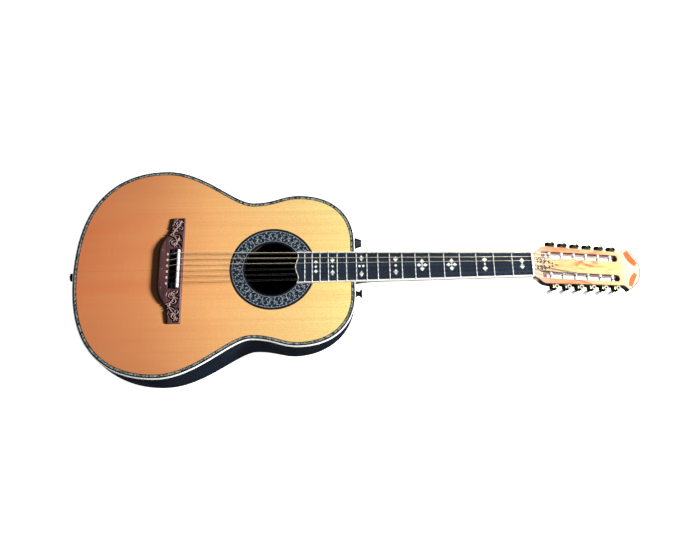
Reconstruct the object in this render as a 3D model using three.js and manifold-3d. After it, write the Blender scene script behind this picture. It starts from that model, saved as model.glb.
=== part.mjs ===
// Twelve-string acoustic guitar with a moulded bowl back and a slotted headstock.
// Millimetres. The guitar lies on its back: +X points to the head, +Y to the bass side
// and +Z out of the soundboard. The origin is the middle of the flat on the bowl's back.
import * as THREE from 'three';
import { mergeVertices } from 'three/addons/utils/BufferGeometryUtils.js';
import Module from 'manifold-3d';

const wasm = await Module();
wasm.setup();

// ---- Driving dimensions --------------------------------------------------

const SCALE_LENGTH = 641.35;            // nut to saddle, 25 1/4 inches
const NUT_X = 543;                      // front of the fretboard, from the origin
const TOP_Z = 148;                      // playing face of the soundboard
const GAP = 0.3;                        // clearance between curved neighbours
const TURN = Math.PI * 2;

// The body's outer rim, as distances from the nut and half widths.
const RIM = {
  neckEnd: NUT_X - 322.8,
  neckFlat: 51.2,
  upperX: NUT_X - 426.7,
  upperHalf: 147.2,
  waistX: NUT_X - 509.8,
  waistHalf: 133,
  lowerX: NUT_X - 676,
  lowerHalf: 201.6,
  tail: NUT_X - 835.8,
};
const RIM_POINTS = 80;
const SOUNDBOARD_T = 3;
const BINDING_W = 3;
const BINDING_H = 6;
const PURFLING_W = 4.2;
const INLAY_GAP = 0.2;
const BOARD_INSET = BINDING_W + PURFLING_W + 2 * INLAY_GAP;
const SHELF_W = 10;
const WALL = 3.2;
const SHELF_H = 6;                       // depth of the bowl's rim below the binding
const BOARD_BOTTOM = TOP_Z - SOUNDBOARD_T;
const RIM_Z = TOP_Z - BINDING_H;

// The flat that the bowl rests on is the rim's outline, drawn in.
const FLAT_X = NUT_X - 471.3;
const FLAT_LENGTH_RATIO = 0.669;
const FLAT_WIDTH_RATIO = 0.3;
const BOWL_STEPS = 8;
const SECTION = { power: 4.1, waistMore: 0.2, neckLess: 1.8, tailLess: 0.5 };

const HOLE_X = NUT_X - 473;
const HOLE_R = 50.8;
const ROSETTE_R = 78.8;
const ROSETTE_T = 1.5;

const NUT_HALF = 23.8;
const TWELFTH_HALF = 28.5;
const BOARD_T = 6.5;
const BOARD_END = 429;                  // distance from the nut to the fretboard's corners
const BOARD_BINDING_W = 1.6;
const FRET_COUNT = 18;
const FRET_H = 1.1;
const FRET_HALF_W = 1.2;
const NUT_T = 4.2;
const NUT_H = 8;

const BRIDGE_H = 8.5;
const BRIDGE_FRONT = NUT_X - 636;
const BRIDGE_WING_BACK = NUT_X - 661.5;
const BRIDGE_BACK = NUT_X - 682;
const BRIDGE_HALF = 102.5;
const WING_START = 46;
const WING_END_H = 4.5;
const RECESS_BACK = NUT_X - 661;
const RECESS_FRONT = NUT_X - 640.8;
const RECESS_HALF = 38;
const RECESS_FLOOR = TOP_Z + 3;
const SADDLE_X = NUT_X - 644.4;
const SADDLE_T = 6;
const SADDLE_HALF = 36.5;
const SADDLE_TOP = TOP_Z + 11.2;

const HEAD_TILT = THREE.MathUtils.degToRad(11);
const HEAD_RISE = 5;                    // the head's face above the soundboard at the nut
const HEAD_T = 20;
const OVERLAY_T = 2;
const GLUE_T = 0.2;                     // between the face plate and the head's blank
const HEAD_START = 6;
const SLOT_Y = 19.5;
const SLOT_W = 13;
const SLOT_START = 30;
const SLOT_END = 173;
const TUNER_FIRST = 37.5;
const TUNER_PITCH = 24.4;
const TUNERS_A_SIDE = 6;
const ROLLER_T = -5.5;
const ROLLER_R = 3.1;
const SHAFT_R = 2;
const WHEEL_R = 3.9;
const WHEEL_IN = 3.4;
const WHEEL_W = 4;
const WORM_R = 3;
const WORM_TOP = -2.4;
const WORM_BOTTOM = -12.2;
const WORM_OFFSET = WHEEL_R + WORM_R + 0.5;
const WORM_Y = WHEEL_IN + WHEEL_W / 2;

const COURSE_Y_NUT = [19.3, 11.6, 3.9];
const COURSE_Y_SADDLE = [28.2, 16.9, 5.6];
const PAIR_AT_NUT = 1.0;
const PAIR_AT_SADDLE = 1.2;
const STRING_HOLE_R = 0.95;
const STRING_Z_ANCHOR = TOP_Z + 5.6;
const STRING_END_X = NUT_X - 668;        // inside the bridge
const STRING_EXIT_X = NUT_X - 659.5;     // just clear of its hole, in the recess
const WIND_Y = [22, 19, 16.5, 18.5, 20.5, 22.5];
const STRING_R = {
  bass: [0.6, 0.35, 0.5, 0.3, 0.4, 0.25],
  treble: [0.25, 0.25, 0.3, 0.3, 0.35, 0.25],
};

// ---- Solids --------------------------------------------------------------

function toSolid(geometry) {
  const bare = geometry.clone();
  bare.deleteAttribute('normal');
  bare.deleteAttribute('uv');
  const merged = mergeVertices(bare, 1e-4);
  return new wasm.Manifold(new wasm.Mesh({
    numProp: 3,
    vertProperties: new Float32Array(merged.attributes.position.array),
    triVerts: new Uint32Array(merged.index.array),
  }));
}

function toGeometry(solid) {
  const mesh = solid.getMesh();
  const geometry = new THREE.BufferGeometry();
  geometry.setAttribute('position', new THREE.BufferAttribute(mesh.vertProperties, 3));
  geometry.setIndex(new THREE.BufferAttribute(mesh.triVerts, 1));
  const flat = geometry.toNonIndexed();
  flat.computeVertexNormals();
  return flat;
}

function union(geometries) {
  return geometries.map(toSolid).reduce((all, next) => all.add(next));
}

function cut(geometry, cutters) {
  return toGeometry(toSolid(geometry).subtract(union(cutters)));
}

function join(geometries) {
  return toGeometry(union(geometries));
}

// A box from its low and high corners.
function box(low, high) {
  const size = high.map((value, axis) => value - low[axis]);
  const geometry = new THREE.BoxGeometry(...size);
  return geometry.translate(low[0] + size[0] / 2, low[1] + size[1] / 2, low[2] + size[2] / 2);
}

// A flat plate with the shape's outline, from z0 up to z1.
function plate(shape, z0, z1, curveSegments = 12) {
  const geometry = new THREE.ExtrudeGeometry(shape, {
    depth: z1 - z0,
    bevelEnabled: false,
    curveSegments,
  });
  return geometry.translate(0, 0, z0);
}

function cylinderZ(x, y, z0, z1, radius, segments = 16) {
  const geometry = new THREE.CylinderGeometry(radius, radius, z1 - z0, segments);
  return geometry.rotateX(Math.PI / 2).translate(x, y, (z0 + z1) / 2);
}

function cylinderY(x, z, y0, y1, radius, segments = 16) {
  const geometry = new THREE.CylinderGeometry(radius, radius, Math.abs(y1 - y0), segments);
  return geometry.translate(x, (y0 + y1) / 2, z);
}

function cylinderX(y, z, x0, x1, radius, segments = 16) {
  const geometry = new THREE.CylinderGeometry(radius, radius, x1 - x0, segments);
  return geometry.rotateZ(Math.PI / 2).translate((x0 + x1) / 2, y, z);
}

// A solid of revolution about Y from [radius, y] steps.
function turned(steps, segments = 14) {
  const points = steps.map(([radius, y]) => new THREE.Vector2(radius, y));
  return new THREE.LatheGeometry(points, segments);
}

function middle(ring) {
  const sum = ring.reduce((total, point) => total.add(point), new THREE.Vector3());
  return sum.divideScalar(ring.length);
}

// Faces between two rings of points that start at the given places in the vertex list.
function strip(from, to, count) {
  const faces = [];
  for (let k = 0; k < count; k += 1) {
    const next = (k + 1) % count;
    faces.push(from + k, from + next, to + k, from + next, to + next, to + k);
  }
  return faces;
}

// A closed skin through rings of equal point count, capped at the first and last ring.
function loft(rings) {
  const count = rings[0].length;
  const last = (rings.length - 1) * count;
  const vertices = [...rings.flat(), middle(rings[0]), middle(rings.at(-1))];
  const faces = [];
  for (let r = 0; r < last; r += count) faces.push(...strip(r, r + count, count));
  for (let k = 0; k < count; k += 1) {
    const next = (k + 1) % count;
    faces.push(vertices.length - 2, next, k);
    faces.push(vertices.length - 1, last + k, last + next);
  }
  return skin(vertices, faces);
}

// A frame that goes round: its four edges are rings of points, joined in turn.
function band(outer, inner, z0, z1) {
  const rings = [ringAt(outer, z0), ringAt(outer, z1), ringAt(inner, z1), ringAt(inner, z0)];
  const count = outer.length;
  const faces = rings.flatMap((_, r) => strip(r * count, ((r + 1) % 4) * count, count));
  return skin(rings.flat(), faces);
}

// A mesh of the faces, turned so that they point out.
function skin(vertices, faces) {
  if (facesVolume(vertices, faces) < 0) faces.reverse();
  const geometry = new THREE.BufferGeometry().setFromPoints(vertices);
  geometry.setIndex(faces);
  geometry.computeVertexNormals();
  return geometry;
}

function facesVolume(vertices, faces) {
  let sum = 0;
  for (let k = 0; k < faces.length; k += 3) {
    const [a, b, c] = [vertices[faces[k]], vertices[faces[k + 1]], vertices[faces[k + 2]]];
    sum += a.dot(b.clone().cross(c));
  }
  return sum / 6;
}

// ---- The body ------------------------------------------------------------

// Half of the rim from the neck end's middle, round the bass side, to the tail's middle.
function halfRim() {
  const path = new THREE.Path();
  path.moveTo(RIM.neckEnd, 0);
  path.lineTo(RIM.neckEnd, RIM.neckFlat);
  path.bezierCurveTo(RIM.neckEnd, 101.5, NUT_X - 356.2, RIM.upperHalf, RIM.upperX, RIM.upperHalf);
  path.bezierCurveTo(NUT_X - 458.3, RIM.upperHalf, NUT_X - 470.9, RIM.waistHalf, RIM.waistX,
    RIM.waistHalf);
  path.bezierCurveTo(NUT_X - 546.5, RIM.waistHalf, NUT_X - 604.7, RIM.lowerHalf, RIM.lowerX,
    RIM.lowerHalf);
  path.bezierCurveTo(NUT_X - 756.7, RIM.lowerHalf, RIM.tail, 156.6, RIM.tail, 0);
  return path.getSpacedPoints(RIM_POINTS / 2);
}

// The whole rim, drawn in by an inset, as a ring of points that is the same on both sides.
function rimRing(inset = 0) {
  const half = halfRim();
  const mirrored = half.slice(1, -1).reverse().map((point) => new THREE.Vector2(point.x, -point.y));
  const ring = [...half, ...mirrored];
  return ring.map((point, k) => {
    const before = ring.at(k - 1);
    const after = ring[(k + 1) % ring.length];
    const along = after.clone().sub(before).normalize();
    return new THREE.Vector2(point.x - along.y * inset, point.y + along.x * inset);
  });
}

function ringAt(points, z) {
  return points.map((point) => new THREE.Vector3(point.x, point.y, z));
}

// How square the bowl's section is: squarest at the waist, roundest at its two ends.
function squareness(x) {
  const waist = SECTION.waistMore * Math.exp(-(((x - RIM.waistX) / 60) ** 2));
  const neck = SECTION.neckLess * THREE.MathUtils.smoothstep(x, RIM.waistX, RIM.neckEnd);
  const tail = SECTION.tailLess * THREE.MathUtils.smoothstep(-x, -RIM.lowerX, -RIM.tail);
  return SECTION.power + waist - neck - tail;
}

// Rings from the bowl's flat up to its rim, for a skin drawn in by an inset.
function bowlRings(inset, topZ) {
  const rim = rimRing(inset);
  const floor = inset > 0 ? inset : 0;
  const rings = [];
  for (let step = BOWL_STEPS; step >= 0; step -= 1) {
    const angle = (step / BOWL_STEPS) * (Math.PI / 2);
    rings.push(rim.map((point) => {
      const power = 2 / squareness(point.x);
      const drawnIn = 1 - Math.cos(angle) ** power;
      const depth = step === BOWL_STEPS ? 1 : Math.sin(angle) ** power;
      const flatX = FLAT_X + (point.x - FLAT_X) * FLAT_LENGTH_RATIO;
      const flatY = point.y * FLAT_WIDTH_RATIO;
      return new THREE.Vector3(
        THREE.MathUtils.lerp(point.x, flatX, drawnIn),
        THREE.MathUtils.lerp(point.y, flatY, drawnIn),
        topZ - (topZ - floor) * depth,
      );
    }));
  }
  return rings;
}

function bowl() {
  const shelf = [
    ringAt(rimRing(BINDING_W), RIM_Z),
    ringAt(rimRing(BINDING_W), BOARD_BOTTOM),
    ringAt(rimRing(SHELF_W), BOARD_BOTTOM),
    ringAt(rimRing(SHELF_W), RIM_Z),
  ];
  const inside = bowlRings(WALL, RIM_Z - SHELF_H).reverse();
  const shell = loft([...bowlRings(0, RIM_Z), ...shelf, ...inside]);
  const knobHole = cylinderX(KNOB.y, KNOB.z, RIM.neckEnd - 12, RIM.neckEnd + 4, KNOB.holeR);
  return cut(shell, [knobHole]);
}

// The bowl's outside as one full solid, a little larger, for cutting what meets it.
function bowlEnvelope() {
  return loft([...bowlRings(-GAP, RIM_Z), ringAt(rimRing(-GAP), TOP_Z + 10)]);
}

function soundboard() {
  return cut(plate(new THREE.Shape(rimRing(BOARD_INSET)), BOARD_BOTTOM, TOP_Z), [
    cylinderZ(HOLE_X, 0, BOARD_BOTTOM - 1, TOP_Z + 1, HOLE_R, 48),
    cylinderZ(HOLE_X, 0, TOP_Z - ROSETTE_T, TOP_Z + 1, ROSETTE_R + GAP, 64),
  ]);
}

function rosette() {
  const shape = new THREE.Shape().absarc(HOLE_X, 0, ROSETTE_R, 0, TURN);
  shape.holes.push(new THREE.Path().absarc(HOLE_X, 0, HOLE_R + INLAY_GAP, 0, TURN, true));
  return plate(shape, TOP_Z - ROSETTE_T, TOP_Z, 28);
}

function bodyPurfling() {
  const outer = BINDING_W + INLAY_GAP;
  return band(rimRing(outer), rimRing(outer + PURFLING_W), BOARD_BOTTOM, TOP_Z);
}

function bodyBinding() {
  return band(rimRing(), rimRing(BINDING_W - INLAY_GAP), RIM_Z, TOP_Z);
}

const BRACE = {
  crossX: NUT_X - 566,
  angle: THREE.MathUtils.degToRad(38),
  length: 390,
  width: 7,
  height: 14,
};
const TRANSVERSE = { back: NUT_X - 389, front: NUT_X - 381, half: 112, height: 16 };
const BRIDGE_PLATE = { back: NUT_X - 684, front: NUT_X - 628, half: 41, height: 2.5 };
const NECK_BLOCK = { back: NUT_X - 374, front: NUT_X - 333.4, half: 32, bottom: 80 };

function xBrace() {
  const arm = (side) => new THREE.BoxGeometry(BRACE.length, BRACE.width, BRACE.height)
    .rotateZ(side * BRACE.angle)
    .translate(BRACE.crossX, 0, BOARD_BOTTOM - BRACE.height / 2);
  return join([arm(1), arm(-1)]);
}

function transverseBrace() {
  return box([TRANSVERSE.back, -TRANSVERSE.half, BOARD_BOTTOM - TRANSVERSE.height],
    [TRANSVERSE.front, TRANSVERSE.half, BOARD_BOTTOM]);
}

function bridgePlate() {
  return box([BRIDGE_PLATE.back, -BRIDGE_PLATE.half, BOARD_BOTTOM - BRIDGE_PLATE.height],
    [BRIDGE_PLATE.front, BRIDGE_PLATE.half, BOARD_BOTTOM]);
}

function neckBlock() {
  return box([NECK_BLOCK.back, -NECK_BLOCK.half, NECK_BLOCK.bottom],
    [NECK_BLOCK.front, NECK_BLOCK.half, BOARD_BOTTOM]);
}

// A spool-shaped strap button with its foot at the origin, standing along +Y before it is laid down.
function strapButton(x, y, z, outward) {
  const spool = turned([[0, 0], [7, 0], [7, 1.5], [4, 4], [4, 8], [7.5, 10.5], [7.5, 12.5], [0, 12.5]]);
  return spool.rotateZ(-outward * Math.PI / 2).translate(x, y, z);
}

const KNOB = { y: 60, z: TOP_Z - 31, holeR: 4.2, shaftR: 3.4, r: 10, length: 26, grip: 12 };
const STRAP_BUTTON = { y: -41, z: TOP_Z - 30, gap: 0.4 };

function volumeKnob() {
  const base = KNOB.length - KNOB.grip;
  const knob = turned([
    [0, 0], [KNOB.shaftR, 0], [KNOB.shaftR, base], [KNOB.r + 1, base],
    [KNOB.r, base + 3], [KNOB.r - 1, KNOB.length], [0, KNOB.length],
  ], 24);
  return knob.rotateZ(-Math.PI / 2).translate(RIM.neckEnd - 12.4, KNOB.y, KNOB.z);
}

function volumePot() {
  const can = cylinderX(KNOB.y, KNOB.z, RIM.neckEnd - 20, RIM.neckEnd - 10, 9);
  return cut(can, [cylinderX(KNOB.y, KNOB.z, RIM.neckEnd - 13, RIM.neckEnd, KNOB.shaftR + 0.4)]);
}

// ---- The bridge ----------------------------------------------------------

function bridgeOutline() {
  const shape = new THREE.Shape();
  shape.moveTo(BRIDGE_FRONT, -BRIDGE_HALF);
  shape.lineTo(BRIDGE_FRONT, BRIDGE_HALF);
  shape.lineTo(BRIDGE_WING_BACK, BRIDGE_HALF);
  shape.lineTo(BRIDGE_WING_BACK - 1, 82);
  shape.bezierCurveTo(BRIDGE_WING_BACK - 4, 62, BRIDGE_BACK, 58, BRIDGE_BACK, 28);
  shape.lineTo(BRIDGE_BACK, -28);
  shape.bezierCurveTo(BRIDGE_BACK, -58, BRIDGE_WING_BACK - 4, -62, BRIDGE_WING_BACK - 1, -82);
  shape.lineTo(BRIDGE_WING_BACK, -BRIDGE_HALF);
  return shape;
}

// The wedge that thins one wing of the bridge towards its end.
function wingCutter(side) {
  const wedge = new THREE.Shape([[WING_START, BRIDGE_H], [BRIDGE_HALF + 1, WING_END_H],
    [BRIDGE_HALF + 1, BRIDGE_H + 1], [WING_START, BRIDGE_H + 1]]
    .map(([y, z]) => new THREE.Vector2(side * y, TOP_Z + z)));
  return plate(wedge, BRIDGE_BACK - 1, BRIDGE_FRONT + 1).rotateX(Math.PI / 2).rotateZ(Math.PI / 2);
}

function bridge() {
  const recess = box([RECESS_BACK, -RECESS_HALF, RECESS_FLOOR],
    [RECESS_FRONT, RECESS_HALF, TOP_Z + BRIDGE_H + 1]);
  const holes = stringList().map((string) => cylinderX(string.saddleY, STRING_Z_ANCHOR,
    BRIDGE_BACK - 1, RECESS_BACK + 1, STRING_HOLE_R, 8));
  return cut(plate(bridgeOutline(), TOP_Z, TOP_Z + BRIDGE_H),
    [recess, wingCutter(1), wingCutter(-1), ...holes]);
}

function saddle() {
  const half = SADDLE_T / 2;
  const section = new THREE.Shape();
  section.moveTo(-half, RECESS_FLOOR);
  section.lineTo(half, RECESS_FLOOR);
  section.lineTo(half, SADDLE_TOP - 1);
  section.lineTo(half - 1, SADDLE_TOP);
  section.lineTo(1 - half, SADDLE_TOP);
  section.lineTo(-half, SADDLE_TOP - 1);
  const bar = plate(section, -SADDLE_HALF, SADDLE_HALF);
  return bar.rotateX(Math.PI / 2).translate(SADDLE_X, 0, 0);
}

// ---- The neck and fretboard ----------------------------------------------

// The fretboard's half width at a distance from the nut.
function boardHalf(distance) {
  return NUT_HALF + ((TWELFTH_HALF - NUT_HALF) * distance) / (SCALE_LENGTH / 2);
}

function fretDistance(number) {
  return SCALE_LENGTH * (1 - 2 ** (-number / 12));
}

// The fretboard's outline, drawn in by an inset, with its bracket-shaped end over the soundhole.
function boardOutline(inset) {
  const end = NUT_X - BOARD_END + inset;
  const half = boardHalf(BOARD_END) - inset;
  const shape = new THREE.Shape();
  shape.moveTo(NUT_X, NUT_HALF - inset);
  shape.lineTo(end, half);
  shape.bezierCurveTo(end + 4, half - 10, end + 4, 8, end - 2, 0);
  shape.bezierCurveTo(end + 4, -8, end + 4, 10 - half, end, -half);
  shape.lineTo(NUT_X, inset - NUT_HALF);
  return shape;
}

const TANG = { bottom: TOP_Z + 4.2, halfW: 0.3, slotHalfW: 0.6 };

function fretboard() {
  const board = plate(boardOutline(BOARD_BINDING_W + INLAY_GAP), TOP_Z, TOP_Z + BOARD_T, 8);
  const groove = box([NUT_X - BOARD_END + 8, -TANG.slotHalfW, TOP_Z - 1],
    [NUT_X - 30, TANG.slotHalfW, TANG.bottom + 1.2]);
  const slots = [];
  for (let number = 1; number <= FRET_COUNT; number += 1) {
    const x = NUT_X - fretDistance(number);
    const half = boardHalf(fretDistance(number)) - 2.2;
    slots.push(box([x - TANG.slotHalfW, -half, TANG.bottom - 0.2],
      [x + TANG.slotHalfW, half, TOP_Z + BOARD_T + 1]));
  }
  return cut(board, [groove, ...slots]);
}

function fretboardBinding() {
  const outside = toSolid(plate(boardOutline(0), TOP_Z, TOP_Z + BOARD_T, 8));
  const inside = toSolid(plate(boardOutline(BOARD_BINDING_W), TOP_Z - 1, TOP_Z + BOARD_T + 1, 8));
  const pastNut = toSolid(box([NUT_X - 2, BOARD_BINDING_W - NUT_HALF, TOP_Z - 1],
    [NUT_X + 2, NUT_HALF - BOARD_BINDING_W, TOP_Z + BOARD_T + 1]));
  return toGeometry(outside.subtract(inside).subtract(pastNut));
}

// All the frets: crowns on the board and tangs in its slots, tied by a strip in its groove.
function frets() {
  const crown = new THREE.Shape();
  crown.moveTo(-FRET_HALF_W, 0);
  crown.lineTo(FRET_HALF_W, 0);
  crown.lineTo(FRET_HALF_W - 0.3, 0.75);
  crown.lineTo(0.4, FRET_H);
  crown.lineTo(-0.4, FRET_H);
  crown.lineTo(0.3 - FRET_HALF_W, 0.75);
  const pieces = [box([NUT_X - fretDistance(FRET_COUNT), -TANG.halfW - 0.1, TANG.bottom + 0.2],
    [NUT_X - fretDistance(1), TANG.halfW + 0.1, TANG.bottom + 0.9])];
  for (let number = 1; number <= FRET_COUNT; number += 1) {
    const x = NUT_X - fretDistance(number);
    const half = boardHalf(fretDistance(number)) - 0.5;
    const bead = plate(crown, -half, half).rotateX(Math.PI / 2);
    pieces.push(bead.translate(x, 0, TOP_Z + BOARD_T));
    pieces.push(box([x - TANG.halfW, 2.6 - half, TANG.bottom],
      [x + TANG.halfW, half - 2.6, TOP_Z + BOARD_T + 0.2]));
  }
  return join(pieces);
}

function nut() {
  return box([NUT_X, -NUT_HALF, TOP_Z], [NUT_X + NUT_T, NUT_HALF, TOP_Z + NUT_H]);
}

// The neck's back: [distance from the nut, depth below the fretboard, how far the foot narrows].
const NECK_STATIONS = [
  [-12, 16.5, 0], [0, 16.5, 0], [60, 17.5, 0], [230, 19.5, 0], [262, 22, 0.05],
  [282, 31, 0.15], [298, 46, 0.3], [311, 62, 0.42], [321, 74, 0.5], [345, 84, 0.55],
];

function neckRing([distance, depth, narrowing]) {
  const half = boardHalf(Math.max(distance, 0)) - 0.4;
  const ring = [];
  const steps = 12;
  for (let k = 0; k <= steps; k += 1) {
    const angle = (Math.PI * k) / steps;
    const drop = Math.sin(angle) ** 0.8;
    const y = half * Math.cos(angle) * (1 - narrowing * drop);
    ring.push(new THREE.Vector3(NUT_X - distance, y, TOP_Z - depth * drop));
  }
  return ring;
}

const ROD = { halfW: 3, bottom: TOP_Z - 9, start: 12, end: 316 };

function neck() {
  const shaft = toSolid(loft(NECK_STATIONS.map(neckRing)));
  const head = toSolid(onHead(headBlank()));
  const channel = box([NUT_X - ROD.end - 1, -ROD.halfW - GAP, ROD.bottom - GAP],
    [NUT_X - ROD.start + 1, ROD.halfW + GAP, TOP_Z + 1]);
  return toGeometry(shaft.add(head).subtract(toSolid(bowlEnvelope())).subtract(toSolid(channel)));
}

function trussRod() {
  return box([NUT_X - ROD.end, -ROD.halfW, ROD.bottom], [NUT_X - ROD.start, ROD.halfW, TOP_Z - GAP]);
}

// ---- The headstock -------------------------------------------------------

// Head pieces are drawn with x along the head from the nut and z = 0 on its face, then tilted back.
function onHead(geometry) {
  return geometry.rotateY(HEAD_TILT).translate(NUT_X, 0, TOP_Z + HEAD_RISE);
}

// A point of the head's own space, in the guitar's space.
function headPoint(x, y, z) {
  const point = new THREE.Vector3(x, y, z).applyAxisAngle(new THREE.Vector3(0, 1, 0), HEAD_TILT);
  return point.add(new THREE.Vector3(NUT_X, 0, TOP_Z + HEAD_RISE));
}

const HEAD = { shoulderX: 30, shoulderHalf: 36.2, sideEnd: 172, sideHalf: 32.7, tipX: 190,
  tipHalf: 41, end: 216.6 };

// The head's half width where its sides are straight.
function sideHalf(x) {
  const share = (x - HEAD.shoulderX) / (HEAD.sideEnd - HEAD.shoulderX);
  return THREE.MathUtils.lerp(HEAD.shoulderHalf, HEAD.sideHalf, share);
}

function headOutline() {
  const rise = HEAD.end - HEAD.tipX;
  const radius = (HEAD.tipHalf ** 2 + rise ** 2) / (2 * rise);
  const angle = Math.asin(HEAD.tipHalf / radius);
  const shape = new THREE.Shape();
  shape.moveTo(HEAD_START, -25.2);
  shape.bezierCurveTo(17, -27, 15, -HEAD.shoulderHalf, HEAD.shoulderX, -HEAD.shoulderHalf);
  shape.lineTo(HEAD.sideEnd, -HEAD.sideHalf);
  shape.bezierCurveTo(180, -31.5, 183, -33, HEAD.tipX, -HEAD.tipHalf);
  shape.absarc(HEAD.end - radius, 0, radius, -angle, angle, false);
  shape.bezierCurveTo(183, 33, 180, 31.5, HEAD.sideEnd, HEAD.sideHalf);
  shape.lineTo(HEAD.shoulderX, HEAD.shoulderHalf);
  shape.bezierCurveTo(15, HEAD.shoulderHalf, 17, 27, HEAD_START, 25.2);
  return shape;
}

// The two long openings and the slopes that lead the nearest strings down into them.
function slotCutters(z0) {
  const cutters = [];
  for (const side of [1, -1]) {
    const radius = SLOT_W / 2;
    const slot = new THREE.Shape();
    slot.moveTo(SLOT_START, side * SLOT_Y - radius);
    slot.lineTo(SLOT_END - radius, side * SLOT_Y - radius);
    slot.absarc(SLOT_END - radius, side * SLOT_Y, radius, -Math.PI / 2, Math.PI / 2, false);
    slot.lineTo(SLOT_START, side * SLOT_Y + radius);
    cutters.push(plate(slot, z0 - 1, 2, 6));
    const ramp = new THREE.Shape([[14, 2], [15, 0], [34, -6.5], [40, -6.5], [40, 2]]
      .map(([x, z]) => new THREE.Vector2(x, z)));
    cutters.push(plate(ramp, -radius + 0.4, radius - 0.4).rotateX(Math.PI / 2)
      .translate(0, side * SLOT_Y, 0));
  }
  return cutters;
}

function tunerX(index) {
  return TUNER_FIRST + TUNER_PITCH * index;
}

function headBlank() {
  const holes = [];
  for (let index = 0; index < TUNERS_A_SIDE; index += 1) {
    for (const side of [1, -1]) {
      holes.push(cylinderY(tunerX(index), ROLLER_T, side * 7.8, side * 45, SHAFT_R + 0.4, 12));
    }
  }
  const blank = plate(headOutline(), -HEAD_T, -OVERLAY_T - GLUE_T);
  return cut(blank, [...slotCutters(-HEAD_T), ...holes]);
}

function headstockOverlay() {
  return onHead(cut(plate(headOutline(), -OVERLAY_T, 0), slotCutters(-OVERLAY_T)));
}

// A roller across its slot, with the shaft through the side wall and the worm wheel on its end.
function roller(index, side) {
  const wall = sideHalf(tunerX(index));
  const inner = SLOT_Y - SLOT_W / 2;
  const outer = SLOT_Y + SLOT_W / 2;
  const spindle = turned([
    [0, 8.2], [SHAFT_R, 8.2], [SHAFT_R, inner + 0.4], [ROLLER_R, inner + 0.4],
    [ROLLER_R, outer - 0.4], [SHAFT_R, outer - 0.4], [SHAFT_R, wall + WHEEL_IN],
    [WHEEL_R, wall + WHEEL_IN], [WHEEL_R, wall + WHEEL_IN + WHEEL_W], [0, wall + WHEEL_IN + WHEEL_W],
  ], 12);
  if (side < 0) spindle.rotateX(Math.PI);
  return onHead(spindle.translate(tunerX(index), 0, ROLLER_T));
}

const BUTTON = { top: -24, bottom: -38, halfW: 6, halfT: 3.6, stemR: 1.6 };

// A tuning button with its stem and worm, standing behind the head.
function tunerButton(index, side) {
  const stem = turned([
    [0, BUTTON.bottom + 3], [BUTTON.stemR, BUTTON.bottom + 3], [BUTTON.stemR, WORM_BOTTOM],
    [WORM_R, WORM_BOTTOM], [WORM_R, WORM_TOP], [0, WORM_TOP],
  ], 12).rotateX(Math.PI / 2);
  const oval = new THREE.Shape().absellipse(0, 0, BUTTON.halfW, BUTTON.halfT, 0, TURN);
  const knob = plate(oval, BUTTON.bottom, BUTTON.top, 8);
  const y = side * (sideHalf(tunerX(index)) + WORM_Y);
  return onHead(join([stem, knob]).translate(tunerX(index) + WORM_OFFSET, y, 0));
}

const CASE = { before: 8, after: 11.5, out: 10, boreOut: 8.6, top: -0.4, bottom: -14 };

// One gear case: a box against the head's side, hollow for the worm wheel and the worm.
function gearCase(index, side) {
  const x = tunerX(index);
  const wall = side * sideHalf(x + 3);
  const low = Math.min(wall + side * 0.4, wall + side * CASE.out);
  const high = Math.max(wall + side * 0.4, wall + side * CASE.out);
  const shell = box([x - CASE.before, low, CASE.bottom], [x + CASE.after, high, CASE.top]);
  const wormY = side * (sideHalf(x) + WORM_Y);
  return toSolid(shell)
    .subtract(toSolid(cylinderY(x, ROLLER_T, wall - side * 2, wall + side * CASE.boreOut,
      WHEEL_R + 0.5, 14)))
    .subtract(toSolid(cylinderZ(x + WORM_OFFSET, wormY, WORM_BOTTOM - 0.6, WORM_TOP + 0.8,
      WORM_R + 0.4, 12)))
    .subtract(toSolid(cylinderZ(x + WORM_OFFSET, wormY, CASE.bottom - 1, WORM_BOTTOM + 0.2,
      BUTTON.stemR + 0.5, 10)));
}

// Six gear cases on one side, held together by the thin plate they are screwed through.
function tunerCases(side) {
  const first = tunerX(0) - CASE.before + 1;
  const last = tunerX(TUNERS_A_SIDE - 1) + CASE.after - 1;
  const strip = new THREE.Shape();
  strip.moveTo(first, side * (sideHalf(first) + 0.4));
  strip.lineTo(last, side * (sideHalf(last) + 0.4));
  strip.lineTo(last, side * (sideHalf(last) + 1.2));
  strip.lineTo(first, side * (sideHalf(first) + 1.2));
  let all = toSolid(plate(strip, CASE.bottom + 0.5, CASE.bottom + 2.5));
  for (let index = 0; index < TUNERS_A_SIDE; index += 1) all = all.add(gearCase(index, side));
  return onHead(toGeometry(all));
}

// ---- The strings ---------------------------------------------------------

// Two strings a course, three courses a side; the outer course goes to the nearest rollers.
function stringList() {
  const strings = [];
  for (const side of [1, -1]) {
    const radii = side > 0 ? STRING_R.bass : STRING_R.treble;
    for (let index = 0; index < TUNERS_A_SIDE; index += 1) {
      const course = Math.floor(index / 2);
      const pair = index % 2 === 0 ? 1 : -1;
      strings.push({
        name: `${side > 0 ? 'bass' : 'treble'}_${index + 1}`,
        index,
        side,
        radius: radii[index],
        saddleY: side * (COURSE_Y_SADDLE[course] + pair * PAIR_AT_SADDLE),
        nutY: side * (COURSE_Y_NUT[course] + pair * PAIR_AT_NUT),
        windY: side * WIND_Y[index],
      });
    }
  }
  return strings;
}

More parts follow.
